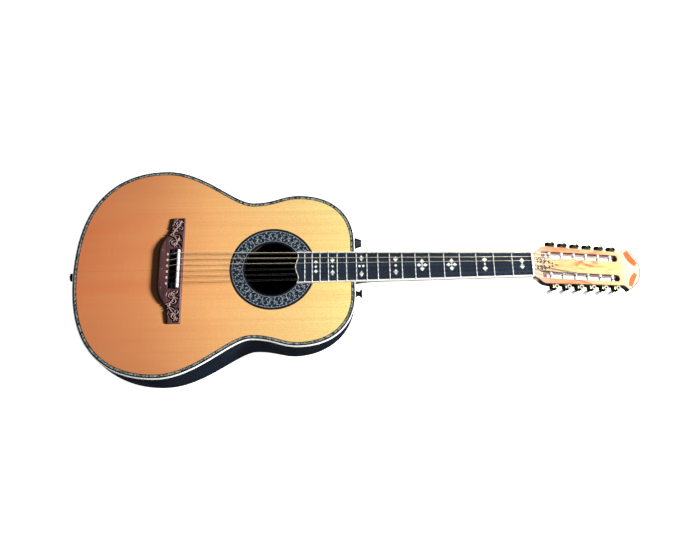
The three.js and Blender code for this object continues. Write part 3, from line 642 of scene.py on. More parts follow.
def head_face_wood():
    """Laminated face of the head: pale between the slots, orange outside them, with red flame figure, and
    paler towards the crown, partly its own tone and partly a painted highlight.
    """
    p = Paint("head_face_wood", coat=0.15, coat_roughness=0.15)
    p.set("Specular IOR Level", 0.25)
    across = p.off_middle("Y", -50, 50)
    wobble = p.level(p.noise(p.space((30, 60, 30)), 1.0, 3), -0.03, 0.03)
    strip = p.math("ADD", across, wobble)
    tone = p.ramp(strip, [(0.0, (0.58, 0.42, 0.16)), (0.11, (0.58, 0.43, 0.2)), (0.24, (0.58, 0.36, 0.18)),
                          (0.275, (0.62, 0.24, 0.12)), (0.36, (0.62, 0.21, 0.09))])
    outer = p.fade(strip, 0.25, 0.275)
    towards_crown = p.fade(p.axis("X", NUT_X + 30, NUT_X + 140), 0.1, 1, 0.95)
    tone = p.mix(tone, (0.6, 0.42, 0.2), p.math("MULTIPLY", outer, towards_crown))
    flame = p.noise(p.space((26, 90, 30), (0, 0, 0.25)), 1.0, 5, 1.4)
    middle = p.off_middle("X", NUT_X, NUT_X + 200)
    red = p.math("MULTIPLY", p.fade(flame, 0.46, 0.62),
                 p.ramp(middle, [(0.02, (0.95,) * 3), (0.14, (0.5,) * 3), (0.3, (0.2,) * 3)]))
    tone = p.mix(tone, (0.42, 0.06, 0.03), red)
    # Paler towards the crown: this is partly the face's own paler tone and partly a painted highlight on the
    # crown.
    pale = p.fade(p.axis("X", NUT_X + 165, NUT_X + 190), 0, 1, 0.9)
    tone = p.mix(tone, (0.6, 0.53, 0.38), pale)
    rosy = p.fade(p.axis("X", NUT_X + 10, NUT_X + 45), 0, 1, 0, 0.75)
    tone = p.mix(tone, (0.56, 0.4, 0.31), rosy)
    p.feed("Base Color", tone)
    p.relief(flame, 0.06, 0.05)
    p.wear(p.space((30, 90, 30)), 1.0, 0.26, 0.4)
    return p.material


def head_core_wood():
    """The head's timber under its face: red-brown inside the slots near the face and pale grey-pink lower
    down the slot walls, a painted light, and stained dark on its outer sides.
    """
    p = Paint("head_core_wood", coat=0.1)
    streak = p.noise(p.space((5, 190, 190)), 1.0, 5, 0.5)
    across = p.off_middle("Y", -50, 50)
    reach = 60  # millimetres straight down from the face in which height falls from 0.9 to 0
    fallen = p.axis("X", NUT_X, NUT_X + reach / math.tan(HEAD_TILT))
    raised = p.axis("Z", TOP_Z + HEAD_RISE - reach, TOP_Z + HEAD_RISE)
    height = p.math("MULTIPLY", p.math("ADD", fallen, raised), 0.9)
    inside = p.ramp(streak, [(0.3, (0.12, 0.03, 0.014)), (0.7, (0.22, 0.06, 0.028))])
    # Painted light: from about 7 mm below the face downwards, the slot walls turn pale grey-pink. This stands
    # in for how light falls on the lower walls.
    inside = p.mix((0.62, 0.5, 0.46), inside, p.fade(height, 0.755, 0.79))
    far_end = p.fade(p.axis("X", NUT_X + 150, NUT_X + 170), 0.6, 0.8)
    inside = p.mix(inside, (0.008, 0.006, 0.005), far_end)
    outside = p.ramp(streak, [(0.3, (0.02, 0.007, 0.006)), (0.7, (0.05, 0.018, 0.012))])
    p.feed("Base Color", p.mix(inside, outside, p.fade(across, 0.27, 0.3)))
    p.relief(streak, 0.2, 0.08)
    p.wear(p.space((5, 90, 90)), 2.0, 0.4, 0.55)
    return p.material


MATERIALS = {
    "spruce": spruce_top(),
    # Painted shade: the braces, bridge plate and neck block are coloured near black, standing in for the
    # shade inside the body.
    "brace": wood("brace_spruce", (0.02, 0.013, 0.008), (0.04, 0.027, 0.016), (6, 220, 220),
                  (0.6, 0.8), 0.0),
    "bowl": bowl_skin(),
    "binding": ivoroid(),
    "shell": shell("shell_inlay", [(0.004, 0.008, 0.012), (0.015, 0.03, 0.04), (0.06, 0.08, 0.07),
                                   (0.5, 0.54, 0.46), (0.03, 0.045, 0.07), (0.16, 0.18, 0.15)], 340),
    "pearl": shell("pearl_inlay", [(0.5, 0.62, 0.62), (0.8, 0.86, 0.84), (0.95, 0.95, 0.9),
                                   (0.75, 0.8, 0.86)], 160),
    "rosette_shell": shell("rosette_shell", [(0.02, 0.035, 0.05), (0.1, 0.19, 0.2), (0.62, 0.74, 0.76),
                                             (0.15, 0.11, 0.21), (0.3, 0.38, 0.34), (0.04, 0.08, 0.13)], 520),
    "rosette_base": plastic("rosette_inlay", (0.005, 0.01, 0.02), (0.02, 0.032, 0.052), (0.35, 0.5), 120, 0.0,
                            gloss=0.2),
    "line_grey": plastic("inlay_line", (0.2, 0.26, 0.3), (0.34, 0.4, 0.42), (0.3, 0.4)),
    "black": plastic("black_plastic", (0.004, 0.005, 0.008), (0.012, 0.014, 0.02), (0.35, 0.55), 60, 0.0,
                     gloss=0.2),
    "bone": plastic("bone", (0.86, 0.85, 0.8), (0.98, 0.98, 0.95), (0.3, 0.45), 90),
    "bridge": carved_wood(),
    "seam": wood("soundboard_seam_line", (0.3, 0.1, 0.03), (0.45, 0.18, 0.06)),
    "eye": plastic("string_eye_bone", (0.6, 0.4, 0.38), (0.85, 0.66, 0.62), (0.35, 0.5), 200),
    "neck": wood("neck_wood", (0.03, 0.01, 0.006), (0.085, 0.03, 0.015), (5, 190, 190), (0.34, 0.5), 0.3),
    "ebony": wood("fretboard_ebony", (0.004, 0.01, 0.021), (0.015, 0.03, 0.054), (5, 420, 200),
                  (0.36, 0.52)),
    "head": head_face_wood(),
    "head_core": head_core_wood(),
    "wedge": wood("orange_wedge_wood", (0.46, 0.05, 0.006), (0.6, 0.14, 0.014), (20, 120, 60), (0.3, 0.4)),
    "engraving": wood("scroll_inlay_wood", (0.02, 0.006, 0.006), (0.06, 0.018, 0.014), (40, 200, 60),
                      (0.4, 0.5)),
    "fret": metal("fret_wire", (0.74, 0.78, 0.82), (0.92, 0.93, 0.94), (0.18, 0.3), metallic=0.4),
    "chrome": metal("tuner_chrome", (0.36, 0.38, 0.34), (0.66, 0.66, 0.6), (0.14, 0.3)),
    "case_dark": metal("tuner_case_metal", (0.04, 0.045, 0.03), (0.2, 0.19, 0.1), (0.22, 0.4)),
    "button": plastic("button_pearl", (0.66, 0.7, 0.72), (0.92, 0.93, 0.92), (0.15, 0.3), 200, 0.5),
    "roller": metal("roller_steel", (0.9, 0.9, 0.88), (0.98, 0.98, 0.96), (0.3, 0.42), metallic=0.15),
    # The brighter collar metal is a painted light, used only on the near, treble side.
    "collar": metal("worm_collar_painted_lit", (0.36, 0.34, 0.27), (0.6, 0.57, 0.48), (0.25, 0.4), metallic=0.3),
    "wound": wound_wire(),
    "plain": metal("plain_steel_string", (0.26, 0.26, 0.28), (0.42, 0.42, 0.43), (0.2, 0.32), (400, 60, 60)),
    "rod": metal("truss_rod_metal", (0.4, 0.4, 0.4), (0.6, 0.6, 0.6), (0.3, 0.5)),
    "pot": metal("pot_metal", (0.3, 0.3, 0.3), (0.5, 0.5, 0.5), (0.3, 0.5)),
}


# ---- Putting pieces in the scene -----------------------------------------

CREASE = 32  # degrees between two faces from which their edge looks sharp


def new_object(name, shape):
    """A shape in the scene, in metres, with its faces turned outwards."""
    points, faces = shape
    mesh = bpy.data.meshes.new(name)
    mesh.from_pydata((np.asarray(points) * MM).tolist(), [], faces)
    bm = bmesh.new()
    bm.from_mesh(mesh)
    bmesh.ops.recalc_face_normals(bm, faces=bm.faces[:])
    bm.to_mesh(mesh)
    bm.free()
    made = bpy.data.objects.new(name, mesh)
    bpy.context.scene.collection.objects.link(made)
    return made


def piece(name, shape, material, body="guitar", replaces=(), bevel=0.0, crease=CREASE):
    """A named piece in its place, riding on a body and standing for the CAD nodes it replaces."""
    made = new_object(name, shape)
    made.data.shade_smooth()
    made.data.set_sharp_from_angle(angle=math.radians(crease))
    made.data.materials.append(MATERIALS[material])
    if bevel:
        soften = made.modifiers.new("soften", "BEVEL")
        soften.width = bevel * MM
        soften.segments = 2
        soften.limit_method = "ANGLE"
        soften.angle_limit = math.radians(crease)
        soften.harden_normals = True
    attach(made, body)
    if replaces:
        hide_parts(*replaces)
    return made


# ---- The body ------------------------------------------------------------

def smooth_step(value, low, high):
    """0 at low to 1 at high, starting and ending level."""
    t = np.clip((value - low) / (high - low), 0, 1)
    return t * t * (3 - 2 * t)


def squareness(x):
    """How square the bowl's cross-section is: fullest at the waist, rounder at the two ends."""
    waist_more, neck_less, tail_less = 0.2, 1.8, 0.5
    return (4.1 + waist_more * np.exp(-((x - WAIST[0]) / 60) ** 2)
            - neck_less * smooth_step(x, WAIST[0], NECK_END)
            - tail_less * smooth_step(-x, -LOWER[0], -TAIL))


def bowl_rings(outline, top, floor, steps=36):
    """Rings from a level outline down to the flat on the bowl's back."""
    x, y = outline[:, 0], outline[:, 1]
    flat = np.column_stack([FLAT_X + (x - FLAT_X) * FLAT_LENGTH_RATIO, y * FLAT_WIDTH_RATIO])
    power = 2 / squareness(x)
    rings = []
    for step in range(steps + 1):
        angle = math.pi / 2 * step / steps
        drawn_in = (1 - max(math.cos(angle), 0) ** power)[:, None]
        depth = math.sin(angle) ** power
        rings.append(np.column_stack([outline + (flat - outline) * drawn_in, top - (top - floor) * depth]))
    return rings


def bowl():
    """The moulded shell, with the shelf under its rim that the soundboard lies on."""
    outer = bowl_rings(RIM, SIDE_Z, 0)[::-1]
    inner = bowl_rings(inset(RIM, WALL), SIDE_Z - BINDING_H, WALL, 20)
    under_board = TOP_Z - SOUNDBOARD_T
    ledge, shelf_edge = inset(RIM, BINDING_W), inset(RIM, SHELF_IN)
    shelf = [at_height(ledge, SIDE_Z), at_height(ledge, under_board),
             at_height(shelf_edge, under_board), at_height(shelf_edge, SIDE_Z)]
    piece("bowl_shell", loft(outer + shelf + inner), "bowl", replaces=["bowl"])


def soundboard():
    """The spruce top, with its hole and the step that the rosette lies in."""
    edge = inset(RIM, BOARD_INSET)
    angles = np.arctan2(edge[:, 1], edge[:, 0] - HOLE_X)
    around = np.column_stack([np.cos(angles), np.sin(angles)])

    def round_ring(radius, z):
        return at_height(around * radius + (HOLE_X, 0), z)

    low = TOP_Z - SOUNDBOARD_T
    rings = [at_height(edge, low), at_height(edge, TOP_Z), round_ring(ROSETTE_R + 0.1, TOP_Z),
             round_ring(ROSETTE_R + 0.1, TOP_Z - ROSETTE_T), round_ring(HOLE_R, TOP_Z - ROSETTE_T),
             round_ring(HOLE_R, low)]
    piece("soundboard_top", loft(rings, closed=True), "spruce", replaces=["soundboard"])
    seam = ribbon([(TAIL + BOARD_INSET, 0), (BRIDGE_BACK, 0)], 0.12, TOP_Z - 0.2, TOP_Z + 0.01)
    piece("soundboard_seam", seam, "seam")


def edge_trim():
    """The body's binding, the shell band beside it and the dark lines along both."""
    piece("edge_binding", rim_band(0, BINDING_W, SIDE_Z, TOP_Z, 0.8), "binding",
          replaces=["body_binding"])
    piece("shell_purfling", rim_band(PURFLING_IN, PURFLING_OUT, TOP_Z - SOUNDBOARD_T, TOP_Z), "shell",
          replaces=["body_purfling"])
    lines = [rim_band(1.3, 3.7, TOP_Z - 1, TOP_Z + 0.04), rim_band(6.7, 7.9, TOP_Z - 1, TOP_Z + 0.03)]
    piece("purfling_lines", joined(lines), "black")
    piece("side_line", rim_band(-0.06, 1, SIDE_Z - 0.9, SIDE_Z + 0.6), "black")


VINE_LEAVES = (  # angle from the bend, how far out of it, lean, length, width
    (-0.085, -4.6, 0.6, 8.2, 3.5), (0.085, -4.6, -0.6, 8.2, 3.5), (0.0, -8.0, 0.0, 6.6, 3.1),
    (-0.05, 3.2, 1.9, 5.4, 2.3), (0.05, 3.2, -1.9, 5.4, 2.3), (0.135, -1.2, 0.2, 5.0, 2.4),
    (-0.135, -1.2, -0.2, 5.0, 2.4))
LEAF_SLIMMER = 0.58


def rosette_vine():
    """A stem that waves round the ring, with leaves, a curl and two berries at each bend."""
    low, high = TOP_Z + INLAY_LOW, TOP_Z + INLAY_HIGH

    def place(angle, radius):
        return np.array([HOLE_X + radius * math.cos(angle), radius * math.sin(angle)])

    turn = np.linspace(0, math.tau, 32 * VINE_WAVES + 1)
    radius = VINE_R + VINE_SWING * np.sin(VINE_WAVES * turn)
    stem = np.column_stack([HOLE_X + radius * np.cos(turn), radius * np.sin(turn)])
    parts = [ribbon(stem[:-1], 0.3, low, high)]
    for bend in range(2 * VINE_WAVES):
        out = 1 if bend % 2 == 0 else -1
        angle = math.pi * (bend + 0.5) / VINE_WAVES
        for offset, reach, lean, length, width in VINE_LEAVES:
            start = place(angle + offset, VINE_R + out * (VINE_SWING + reach))
            heading = angle + (0 if out < 0 else math.pi) + lean * out
            curve = 0.7 if offset > 0 else -0.7
            parts.append(leaf(start, heading, length, width * LEAF_SLIMMER, low, high, bend=curve))
        top = place(angle + 0.03, VINE_R + out * VINE_SWING)
        parts.append(curl(top, angle + out * 1.4, 9, out * 4.2, 0.45, low, high))
        for berry_r, berry in ((0.9, place(angle, VINE_R + out * (VINE_SWING + 2.6))),
                               (0.8, place(angle + 0.12, VINE_R - out * 7.2))):
            parts.append(prism(circle(berry_r, 10, *berry), low, high))
    return joined(parts)


def rosette():
    """The dark ring let into the soundboard, with its vine, two fine lines and two plain rims."""
    base = ring_band(HOLE_R, ROSETTE_R, TOP_Z - ROSETTE_T, TOP_Z)
    piece("rosette_ring", base, "rosette_base", replaces=["rosette"])
    lines = [ring_band(inner, outer, TOP_Z - 0.5, TOP_Z + 0.04) for inner, outer in ROSETTE_LINES]
    piece("rosette_lines", joined(lines), "line_grey")
    piece("rosette_vine", rosette_vine(), "rosette_shell")
    rims = [ring_band(inner, outer, TOP_Z - 0.5, TOP_Z + proud) for inner, outer, proud in ROSETTE_RIMS]
    piece("rosette_rims", joined(rims), "black")
    lip = ring_band(HOLE_R - 0.15, HOLE_R + 0.6, TOP_Z - SOUNDBOARD_T - 0.1, TOP_Z + 0.06)
    piece("soundhole_lip", lip, "black")


# ---- The bridge ----------------------------------------------------------

def bridge_back(y):
    """Where the bridge's tail-side edge lies, for an array of places across it."""
    half = np.vstack([[(BRIDGE_BACK, 0), (BRIDGE_BACK, 28)],
                      bezier((BRIDGE_BACK, 28), (BRIDGE_BACK, 58), (NUT_X - 665.5, 62),
                             (NUT_X - 662.5, 82), 40),
                      [(BRIDGE_WING, BRIDGE_HALF)]])
    return np.interp(np.abs(y), half[:, 1], half[:, 0])


def scroll_lines():
    """Centre lines and half-widths of the carving on one wing: a running stem with curls and leaves."""
    middle = (BRIDGE_FRONT + BRIDGE_WING) / 2
    t = np.linspace(0, 1, 70)
    wave = 5.2 * np.sin(t * math.tau * 1.35 + 0.4)
    stem = np.column_stack([middle - 1.5 + wave - 5 * (1 - t) ** 2, 44 + 53 * t])
    lines = [(stem, 1.6)]
    for share, side, size in ((0.04, -1, 1.0), (0.2, 1, 1.1), (0.38, -1, 1.1), (0.56, 1, 1.1),
                              (0.74, -1, 1.0), (0.9, 1, 0.8)):
        start = stem[int(share * 69)]
        turn = np.linspace(0, 1, 36)
        heading = math.pi / 2 + side * (0.9 + 5.6 * turn ** 1.4)
        steps = np.column_stack([np.cos(heading), np.sin(heading)]) * 22 * size / 36
        lines.append((start + np.cumsum(steps, axis=0), 1.25))
        for lean in (0.5, 1.2):
            reach = np.linspace(0, 1, 8)[:, None] * 6.5 * size
            way = math.pi / 2 - side * lean
            lines.append((start + reach * (math.cos(way), math.sin(way)), 1.6))
    return lines


def carving(x, y):
    """Height of the carving, 0 to 1, and the distance to its nearest line, for arrays of places."""
    height, nearest = np.zeros(len(x)), np.full(len(x), 1e9)
    points = np.column_stack([x, np.abs(y)])
    for path, width in scroll_lines():
        gap = np.full(len(x), 1e9)
        for point in path:
            gap = np.minimum(gap, np.hypot(points[:, 0] - point[0], points[:, 1] - point[1]))
        height = np.maximum(height, np.exp(-(gap / width) ** 2 * 1.3))
        nearest = np.minimum(nearest, gap)
    return height, nearest


def bridge_top(y):
    """Height of the bridge's top: level in the middle, sloping down along the wings."""
    share = np.clip((np.abs(y) - WING_START) / (BRIDGE_HALF + 1 - WING_START), 0, 1)
    return BRIDGE_TOP - (BRIDGE_TOP - TOP_Z - WING_END_H) * share


def point_values(made, name, values):
    """Stores a number on each point of a piece, for its material."""
    layer = made.data.attributes.new(name, "FLOAT", "POINT")
    layer.data.foreach_set("value", np.asarray(values, float))


def grid_faces(rows, cols):
    """Four-sided faces over a grid of points."""
    corners = [r * cols + c for r in range(rows - 1) for c in range(cols - 1)]
    return [[a, a + 1, a + cols + 1, a + cols] for a in corners]


def grid_border(rows, cols):
    """The points round a grid, in order."""
    return (list(range(cols)) + [r * cols + cols - 1 for r in range(1, rows)]
            + [(rows - 1) * cols + c for c in range(cols - 2, -1, -1)]
            + [r * cols for r in range(rows - 2, 0, -1)])


def bridge_relief(x, y, near_back):
    """The bridge's height, how high its carving stands and where the carving lies, at many places."""
    edge = np.minimum.reduce([near_back, BRIDGE_FRONT - x, BRIDGE_HALF - np.abs(y)])
    low, high, half = RECESS
    wing = smooth_step(np.abs(y), 38, 46)
    top = bridge_top(y) - 0.4 * wing - 1.2 * (1 - smooth_step(edge, 0, 1.8))
    carved, nearest = carving(x, y)
    field = (smooth_step(edge, 1.2, 2.2) * smooth_step(np.abs(y), 41, 43.5)
             * (1 - smooth_step(nearest, *CARVE_REACH)))
    slope = 1 - smooth_step(near_back, 0, BACK_SLOPE)
    top = top - (bridge_top(y) - TOP_Z - 1.5) * 0.8 * slope
    top = top - CARVE_DEEP * field + field * CARVE_RISE * carved
    inside = np.minimum.reduce([x - low, high - x, half - np.abs(y)])
    top = top + (RECESS_FLOOR - top) * smooth_step(inside, -0.35, 0.35)
    top = np.where(edge < 0.01, np.minimum(bridge_top(y) - 2.4, top), top)
    return np.clip(top, TOP_Z + 0.4, BRIDGE_TOP), carved, field


def bridge():
    """The bridge as a fine grid over its own outline: bevelled edge, carved wings, sunk middle."""
    columns = np.linspace(-BRIDGE_HALF, BRIDGE_HALF, 321)
    shares = np.linspace(0, 1, 61)
    rows, cols = len(columns), len(shares)
    back = bridge_back(columns)
    x = (back[:, None] + (BRIDGE_FRONT - back[:, None]) * shares).ravel()
    y = np.repeat(columns, cols)
    near_back = x - np.repeat(back, cols)
    top, carved, field = bridge_relief(x, y, near_back)
    grid = np.column_stack([x, y, top])
    border, start = grid_border(rows, cols), len(grid)
    foot = at_height(grid[border, :2], TOP_Z)
    faces = grid_faces(rows, cols)
    for k in range(len(border)):
        n = (k + 1) % len(border)
        faces.append([border[k], border[n], start + n, start + k])
    faces.append([start + k for k in range(len(border))])
    made = piece("carved_bridge", (np.vstack([grid, foot]), faces), "bridge",
                 replaces=["bridge"], crease=50)
    at_foot = np.ones(len(foot))
    # Painted shade: through the field value, the slope along the back edge gets the near-black colour of the
    # carving's ground. This stands in for the shade on that slope.
    shaded = 1 - smooth_step(near_back, *BACK_SHADE)
    point_values(made, "carve", np.concatenate([carved * field * (1 - shaded), 0 * at_foot]))
    point_values(made, "field", np.concatenate([np.maximum(field, shaded), at_foot]))


def recess_shade_pieces():
    """Black pieces in the recess, a painted shade: a strip along its back, two round ends and its floor."""
    low, high, half = RECESS
    middle = (low + high) / 2
    back = ribbon([(low + 0.4, -half + 0.4), (low + 0.4, half - 0.4)], 0.3, RECESS_FLOOR - 0.2,
                  BRIDGE_TOP - 1.2)
    ends = [prism(circle(7.5, 32, high - 8.6, side * (half - 5.6)), RECESS_FLOOR, BRIDGE_TOP + 0.12, 0.1)
            for side in (1, -1)]
    floor_strip = ribbon([(middle, -half + 0.3), (middle, half - 0.3)], (high - low) / 2 - 0.3,
                         RECESS_FLOOR - 0.3, RECESS_FLOOR + 0.08)
    piece("bridge_recess_painted_shade", joined([back, *ends, floor_strip]), "black")


def bridge_fittings():
    """The painted shade in the recess, the eyes that the strings go through and three inlaid dots."""
    recess_shade_pieces()
    points, faces = turned([(0.6, -0.8), (1.7, -0.8), (1.8, 0.0), (1.5, 0.35), (1.0, 0.35), (0.6, 0.1)], 28)
    eye = (points * (0.95, 1.5, 1), faces)
    eyes = [shifted(eye, ANCHOR_X - 2.4, side * centre, BRIDGE_TOP + 0.1)
            for side in SIDES.values() for centre in COURSE_Y_SADDLE]
    piece("string_hole_eyes", joined(eyes), "eye")
    dot = turned([(1.4, -0.9), (1.4, 0.1), (1.0, 0.3), (0.3, 0.35)], 24)
    dots = [shifted(dot, NUT_X - 673.2, y, BRIDGE_TOP - 0.3) for y in (-DOT_Y, 0, DOT_Y)]
    piece("bridge_dots", joined(dots), "line_grey")


def saddle():
    """A bone saddle with a round top."""
    x0, x1 = SADDLE_LOW[0], SADDLE_HIGH[0]
    half, top = SADDLE_HIGH[1], SADDLE_HIGH[2]
    profile = [(x0, RECESS_FLOOR), (x1, RECESS_FLOOR), (x1, top - 3.0), (x1 - 0.5, top - 1.2),
               (x1 - 1.5, top - 0.3), ((x0 + x1) / 2 + 0.2, top), (x0 + 1.6, top - 0.3),
               (x0 + 0.5, top - 1.2), (x0, top - 3.0)]
    rings = [[(x, y, z) for x, z in profile] for y in np.linspace(-half, half, 9)]
    piece("bone_saddle", loft(rings), "bone", replaces=["saddle"], bevel=0.5)


# ---- The neck and the fretboard ------------------------------------------

def board_half(distance):
    """Half the fretboard's width at a distance from the nut."""
    return NUT_HALF + (TWELFTH_HALF - NUT_HALF) * distance / (SCALE_LENGTH / 2)


def fret_distance(number):
    """How far a fret lies from the nut."""
    return SCALE_LENGTH * (1 - 2 ** (-number / 12))


def board_outline(inward, start=0.3):
    """The fretboard seen from above, ending in a bracket shape over the soundboard."""
    half_end = board_half(BOARD_END) - inward
    end = NUT_X - BOARD_END + inward
    half = np.vstack([[(NUT_X - start, 0), (NUT_X - start, board_half(0) - inward), (end, half_end)],
                      bezier((end, half_end), (end + 6.5, half_end - 10), (end - 3, 10), (end - 3, 0), 14)])
    return mirrored(half)


def fretboard():
    """The ebony board inside its white binding."""
    outer, inner = board_outline(0), board_outline(BOARD_EDGE_W)
    piece("ebony_board", prism(inner, TOP_Z, BOARD_TOP), "ebony", replaces=["fretboard"])
    band = loft([at_height(inner, TOP_Z + 0.2), at_height(outer, TOP_Z + 0.2),
                 at_height(outer, BOARD_TOP - 0.4), at_height(board_outline(0.4), BOARD_TOP),
                 at_height(inner, BOARD_TOP)], closed=True)
    piece("board_binding", band, "binding", replaces=["fretboard_binding"])


def frets():
    """Each fret's crown is a low arch, with its two ends filed to a slope."""
    for number in range(1, FRETS + 1):
        x = NUT_X - fret_distance(number)
        half = board_half(fret_distance(number)) - 0.3
        rings = []
        for y, scale in ((-half, 0.15), (-half + 0.7, 0.85), (-half + 1.3, 1), (half - 1.3, 1),
                         (half - 0.7, 0.85), (half, 0.15)):
            arch = [(x + FRET_HALF_W * math.cos(a), y, BOARD_TOP + FRET_H * scale * math.sin(a))
                    for a in np.linspace(0, math.pi, 9)]
            rings.append(arch)
        piece(f"fret_{number}", loft(rings), "fret", replaces=["frets"] if number == 1 else ())


def diamond(x, y, long, wide):
    """A four-pointed lozenge with very slightly hollow sides."""
    corners = [(long, 0), (0, wide), (-long, 0), (0, -wide)]
    points = []
    for (ax, ay), (bx, by) in zip(corners, corners[1:] + corners[:1]):
        points.append((x + ax, y + ay))
        points.append((x + (ax + bx) / 2 * 0.96, y + (ay + by) / 2 * 0.96))
    return points


def fret_inlays():
    """Pearl figures between the frets, each a list of diamonds and dots."""
    def let_in(outline):
        return [prism(outline, BOARD_TOP + INLAY_LOW, BOARD_TOP + INLAY_HIGH)]

    def gem(x, y, long, wide):
        return let_in(diamond(x, y, long, wide))

    def dot(x, radius=2.2):
        return let_in(circle(radius, 20, x, 0))

    def lozenges(x, spread, long=4.6, wide=5.6):
        return gem(x, spread, long, wide) + gem(x, -spread, long, wide)

    def blossom(x):
        """Four petals, the two across the board a little larger, round a small diamond."""
        petals = []
        for side in (1, -1):
            petals += gem(x + side * 5.6, 0, 4.4, 3.6) + gem(x, side * 6.8, 4.1, 5.5)
        return gem(x, 0, 1.6, 1.6) + petals

    patterns = {
        1: lambda x: lozenges(x, 5.3),
        3: lambda x: lozenges(x, 8.6) + gem(x, 0, 2.0, 2.4),
        5: blossom,
        7: blossom,
        9: lambda x: lozenges(x, 12.5) + dot(x),
        12: lambda x: lozenges(x, 15.2, 4.0, 6.0) + dot(x - 3.4) + dot(x + 3.4),
        15: lambda x: lozenges(x, 12, 4.2, 5.8) + dot(x, 2.0),
        17: lambda x: lozenges(x, 9, 3.9, 3.6) + dot(x),
    }
    for number, pattern in patterns.items():
        x = NUT_X - (fret_distance(number) + fret_distance(number - 1)) / 2
        piece(f"pearl_inlay_{number}", joined(pattern(x)), "pearl")


NECK_STATIONS = np.array([  # distance from the nut, depth, how far it narrows towards its back
    (-12, 16.5, 0), (0, 16.5, 0), (60, 17.5, 0), (230, 19.5, 0), (262, 22, 0.05), (282, 31, 0.15),
    (298, 46, 0.3), (311, 62, 0.42), (321, 74, 0.5), (345, 84, 0.55)])


def neck():
    """The shaft and heel as a skin over U-shaped sections, closer together along the heel."""
    rings = []
    angles = np.linspace(0, math.pi, 33)
    drop = np.sin(angles) ** 0.8
    for distance in np.concatenate([np.linspace(-12, 230, 26), np.linspace(236, 332, 40)]):
        depth = np.interp(distance, NECK_STATIONS[:, 0], NECK_STATIONS[:, 1])
        narrow = np.interp(distance, NECK_STATIONS[:, 0], NECK_STATIONS[:, 2])
        half = board_half(max(distance, 0)) - 0.4
        y = half * np.cos(angles) * (1 - narrow * drop)
        rings.append(np.column_stack([np.full(len(y), NUT_X - distance), y, TOP_Z - depth * drop]))
    piece("neck_shaft", loft(rings), "neck", replaces=["neck"], crease=60)


def nut():
    """A bone nut with its twelve string notches."""
    x0, x1, half = NUT_LOW[0], NUT_HIGH[0], NUT_HIGH[1]
    foot = BOARD_TOP - 6
    notches = [side * (course + pair * PAIR_AT_NUT) for side in (1, -1) for course in COURSE_Y_NUT
               for pair in (1, -1)]
    rings = []
    for y in np.linspace(-half, half, 241):
        dip = sum(NOTCH_DEPTH * math.exp(-((y - notch) / NOTCH_HALF_W) ** 4) for notch in notches)
        top = NUT_TOP - dip - 1.2 * max(0.0, abs(y) - half + 1.4) ** 1.6
        rings.append([(x0, y, foot), (x0, y, top), (x0 + 0.8, y, top), (x1 - 0.9, y, top - 0.6),
                      (x1, y, top - 1.4), (x1, y, foot)])
    piece("bone_nut", loft(rings), "bone", replaces=["nut"], crease=40)


# ---- The head ------------------------------------------------------------

def side_half(x):
    """Half the head's width along its straight sides."""
    return SHOULDER[1] + (SIDE_END[1] - SHOULDER[1]) * (x - SHOULDER[0]) / (SIDE_END[0] - SHOULDER[0])


def head_outline():
    """The head from the nut to its crown, which is an arc through the two tips."""
    rise = HEAD_END - TIP[0]
    radius = (TIP[1] ** 2 + rise ** 2) / (2 * rise)
    spread = math.asin(TIP[1] / radius)
    crown = [(HEAD_END - radius + radius * math.cos(a), radius * math.sin(a))
             for a in np.linspace(spread, 0, 24)]
    half = np.vstack([[(HEAD_START, 0), (HEAD_START, 25.2)],
                      bezier((HEAD_START, 25.2), (17, 27), (15, SHOULDER[1]), SHOULDER, 16),
                      [SIDE_END], bezier(SIDE_END, (180, 31.5), (183, 33), TIP, 12), crown[1:]])
    return mirrored(half)


def slot_outline(side):
    """One long opening: square at the nut end, round at the other."""
    radius = SLOT_W / 2
    bend = [(SLOT_END - radius + radius * math.cos(a), side * SLOT_Y + radius * math.sin(a))
            for a in np.linspace(-math.pi / 2, math.pi / 2, 17)]
    return [(SLOT_START, side * SLOT_Y - radius)] + bend + [(SLOT_START, side * SLOT_Y + radius)]


def ramp_cutter(side, start=13.0, shrink=0.4):
    """The wedge cut out of the face, which leads the strings down into a slot."""
    half = SLOT_W / 2 - shrink
    profile = [(start, 2.5), (start + 1.5, 0), (34, -6.5), (40, -6.5), (40, 2.5)]
    return loft([[(x, side * SLOT_Y - half, z) for x, z in profile],
                 [(x, side * SLOT_Y + half, z) for x, z in profile]])


def cut_from(made, cutters):
    """Takes shapes out of a piece for good."""
    tool = new_object("cutter", joined(cutters))
    cut = made.modifiers.new("cut", "BOOLEAN")
    cut.operation = "DIFFERENCE"
    cut.solver = "EXACT"
    cut.object = tool
    graph = bpy.context.evaluated_depsgraph_get()
    result = bpy.data.meshes.new_from_object(made.evaluated_get(graph))
    made.modifiers.clear()
    made.data = result
    made.data.set_sharp_from_angle(angle=math.radians(CREASE))
    bpy.data.objects.remove(tool)


def headstock():
    """The slotted blank and the face plate glued on it, both cut by the ramps of the strings."""
    outline = head_outline()
    slots = [slot_outline(1), slot_outline(-1)]
    cutters = [on_head(ramp_cutter(side)) for side in (1, -1)]
    blank = plate([outline] + slots, -HEAD_T, -OVERLAY_T - GLUE_T, back_ease=3.5, ease_rise=5)
    cut_from(piece("headstock_blank", on_head(blank), "head_core"), cutters)
    face = plate([outline] + slots, -OVERLAY_T - GLUE_T, 0)
    cut_from(piece("headstock_face", on_head(face), "head", replaces=["headstock_overlay"]),
             cutters)


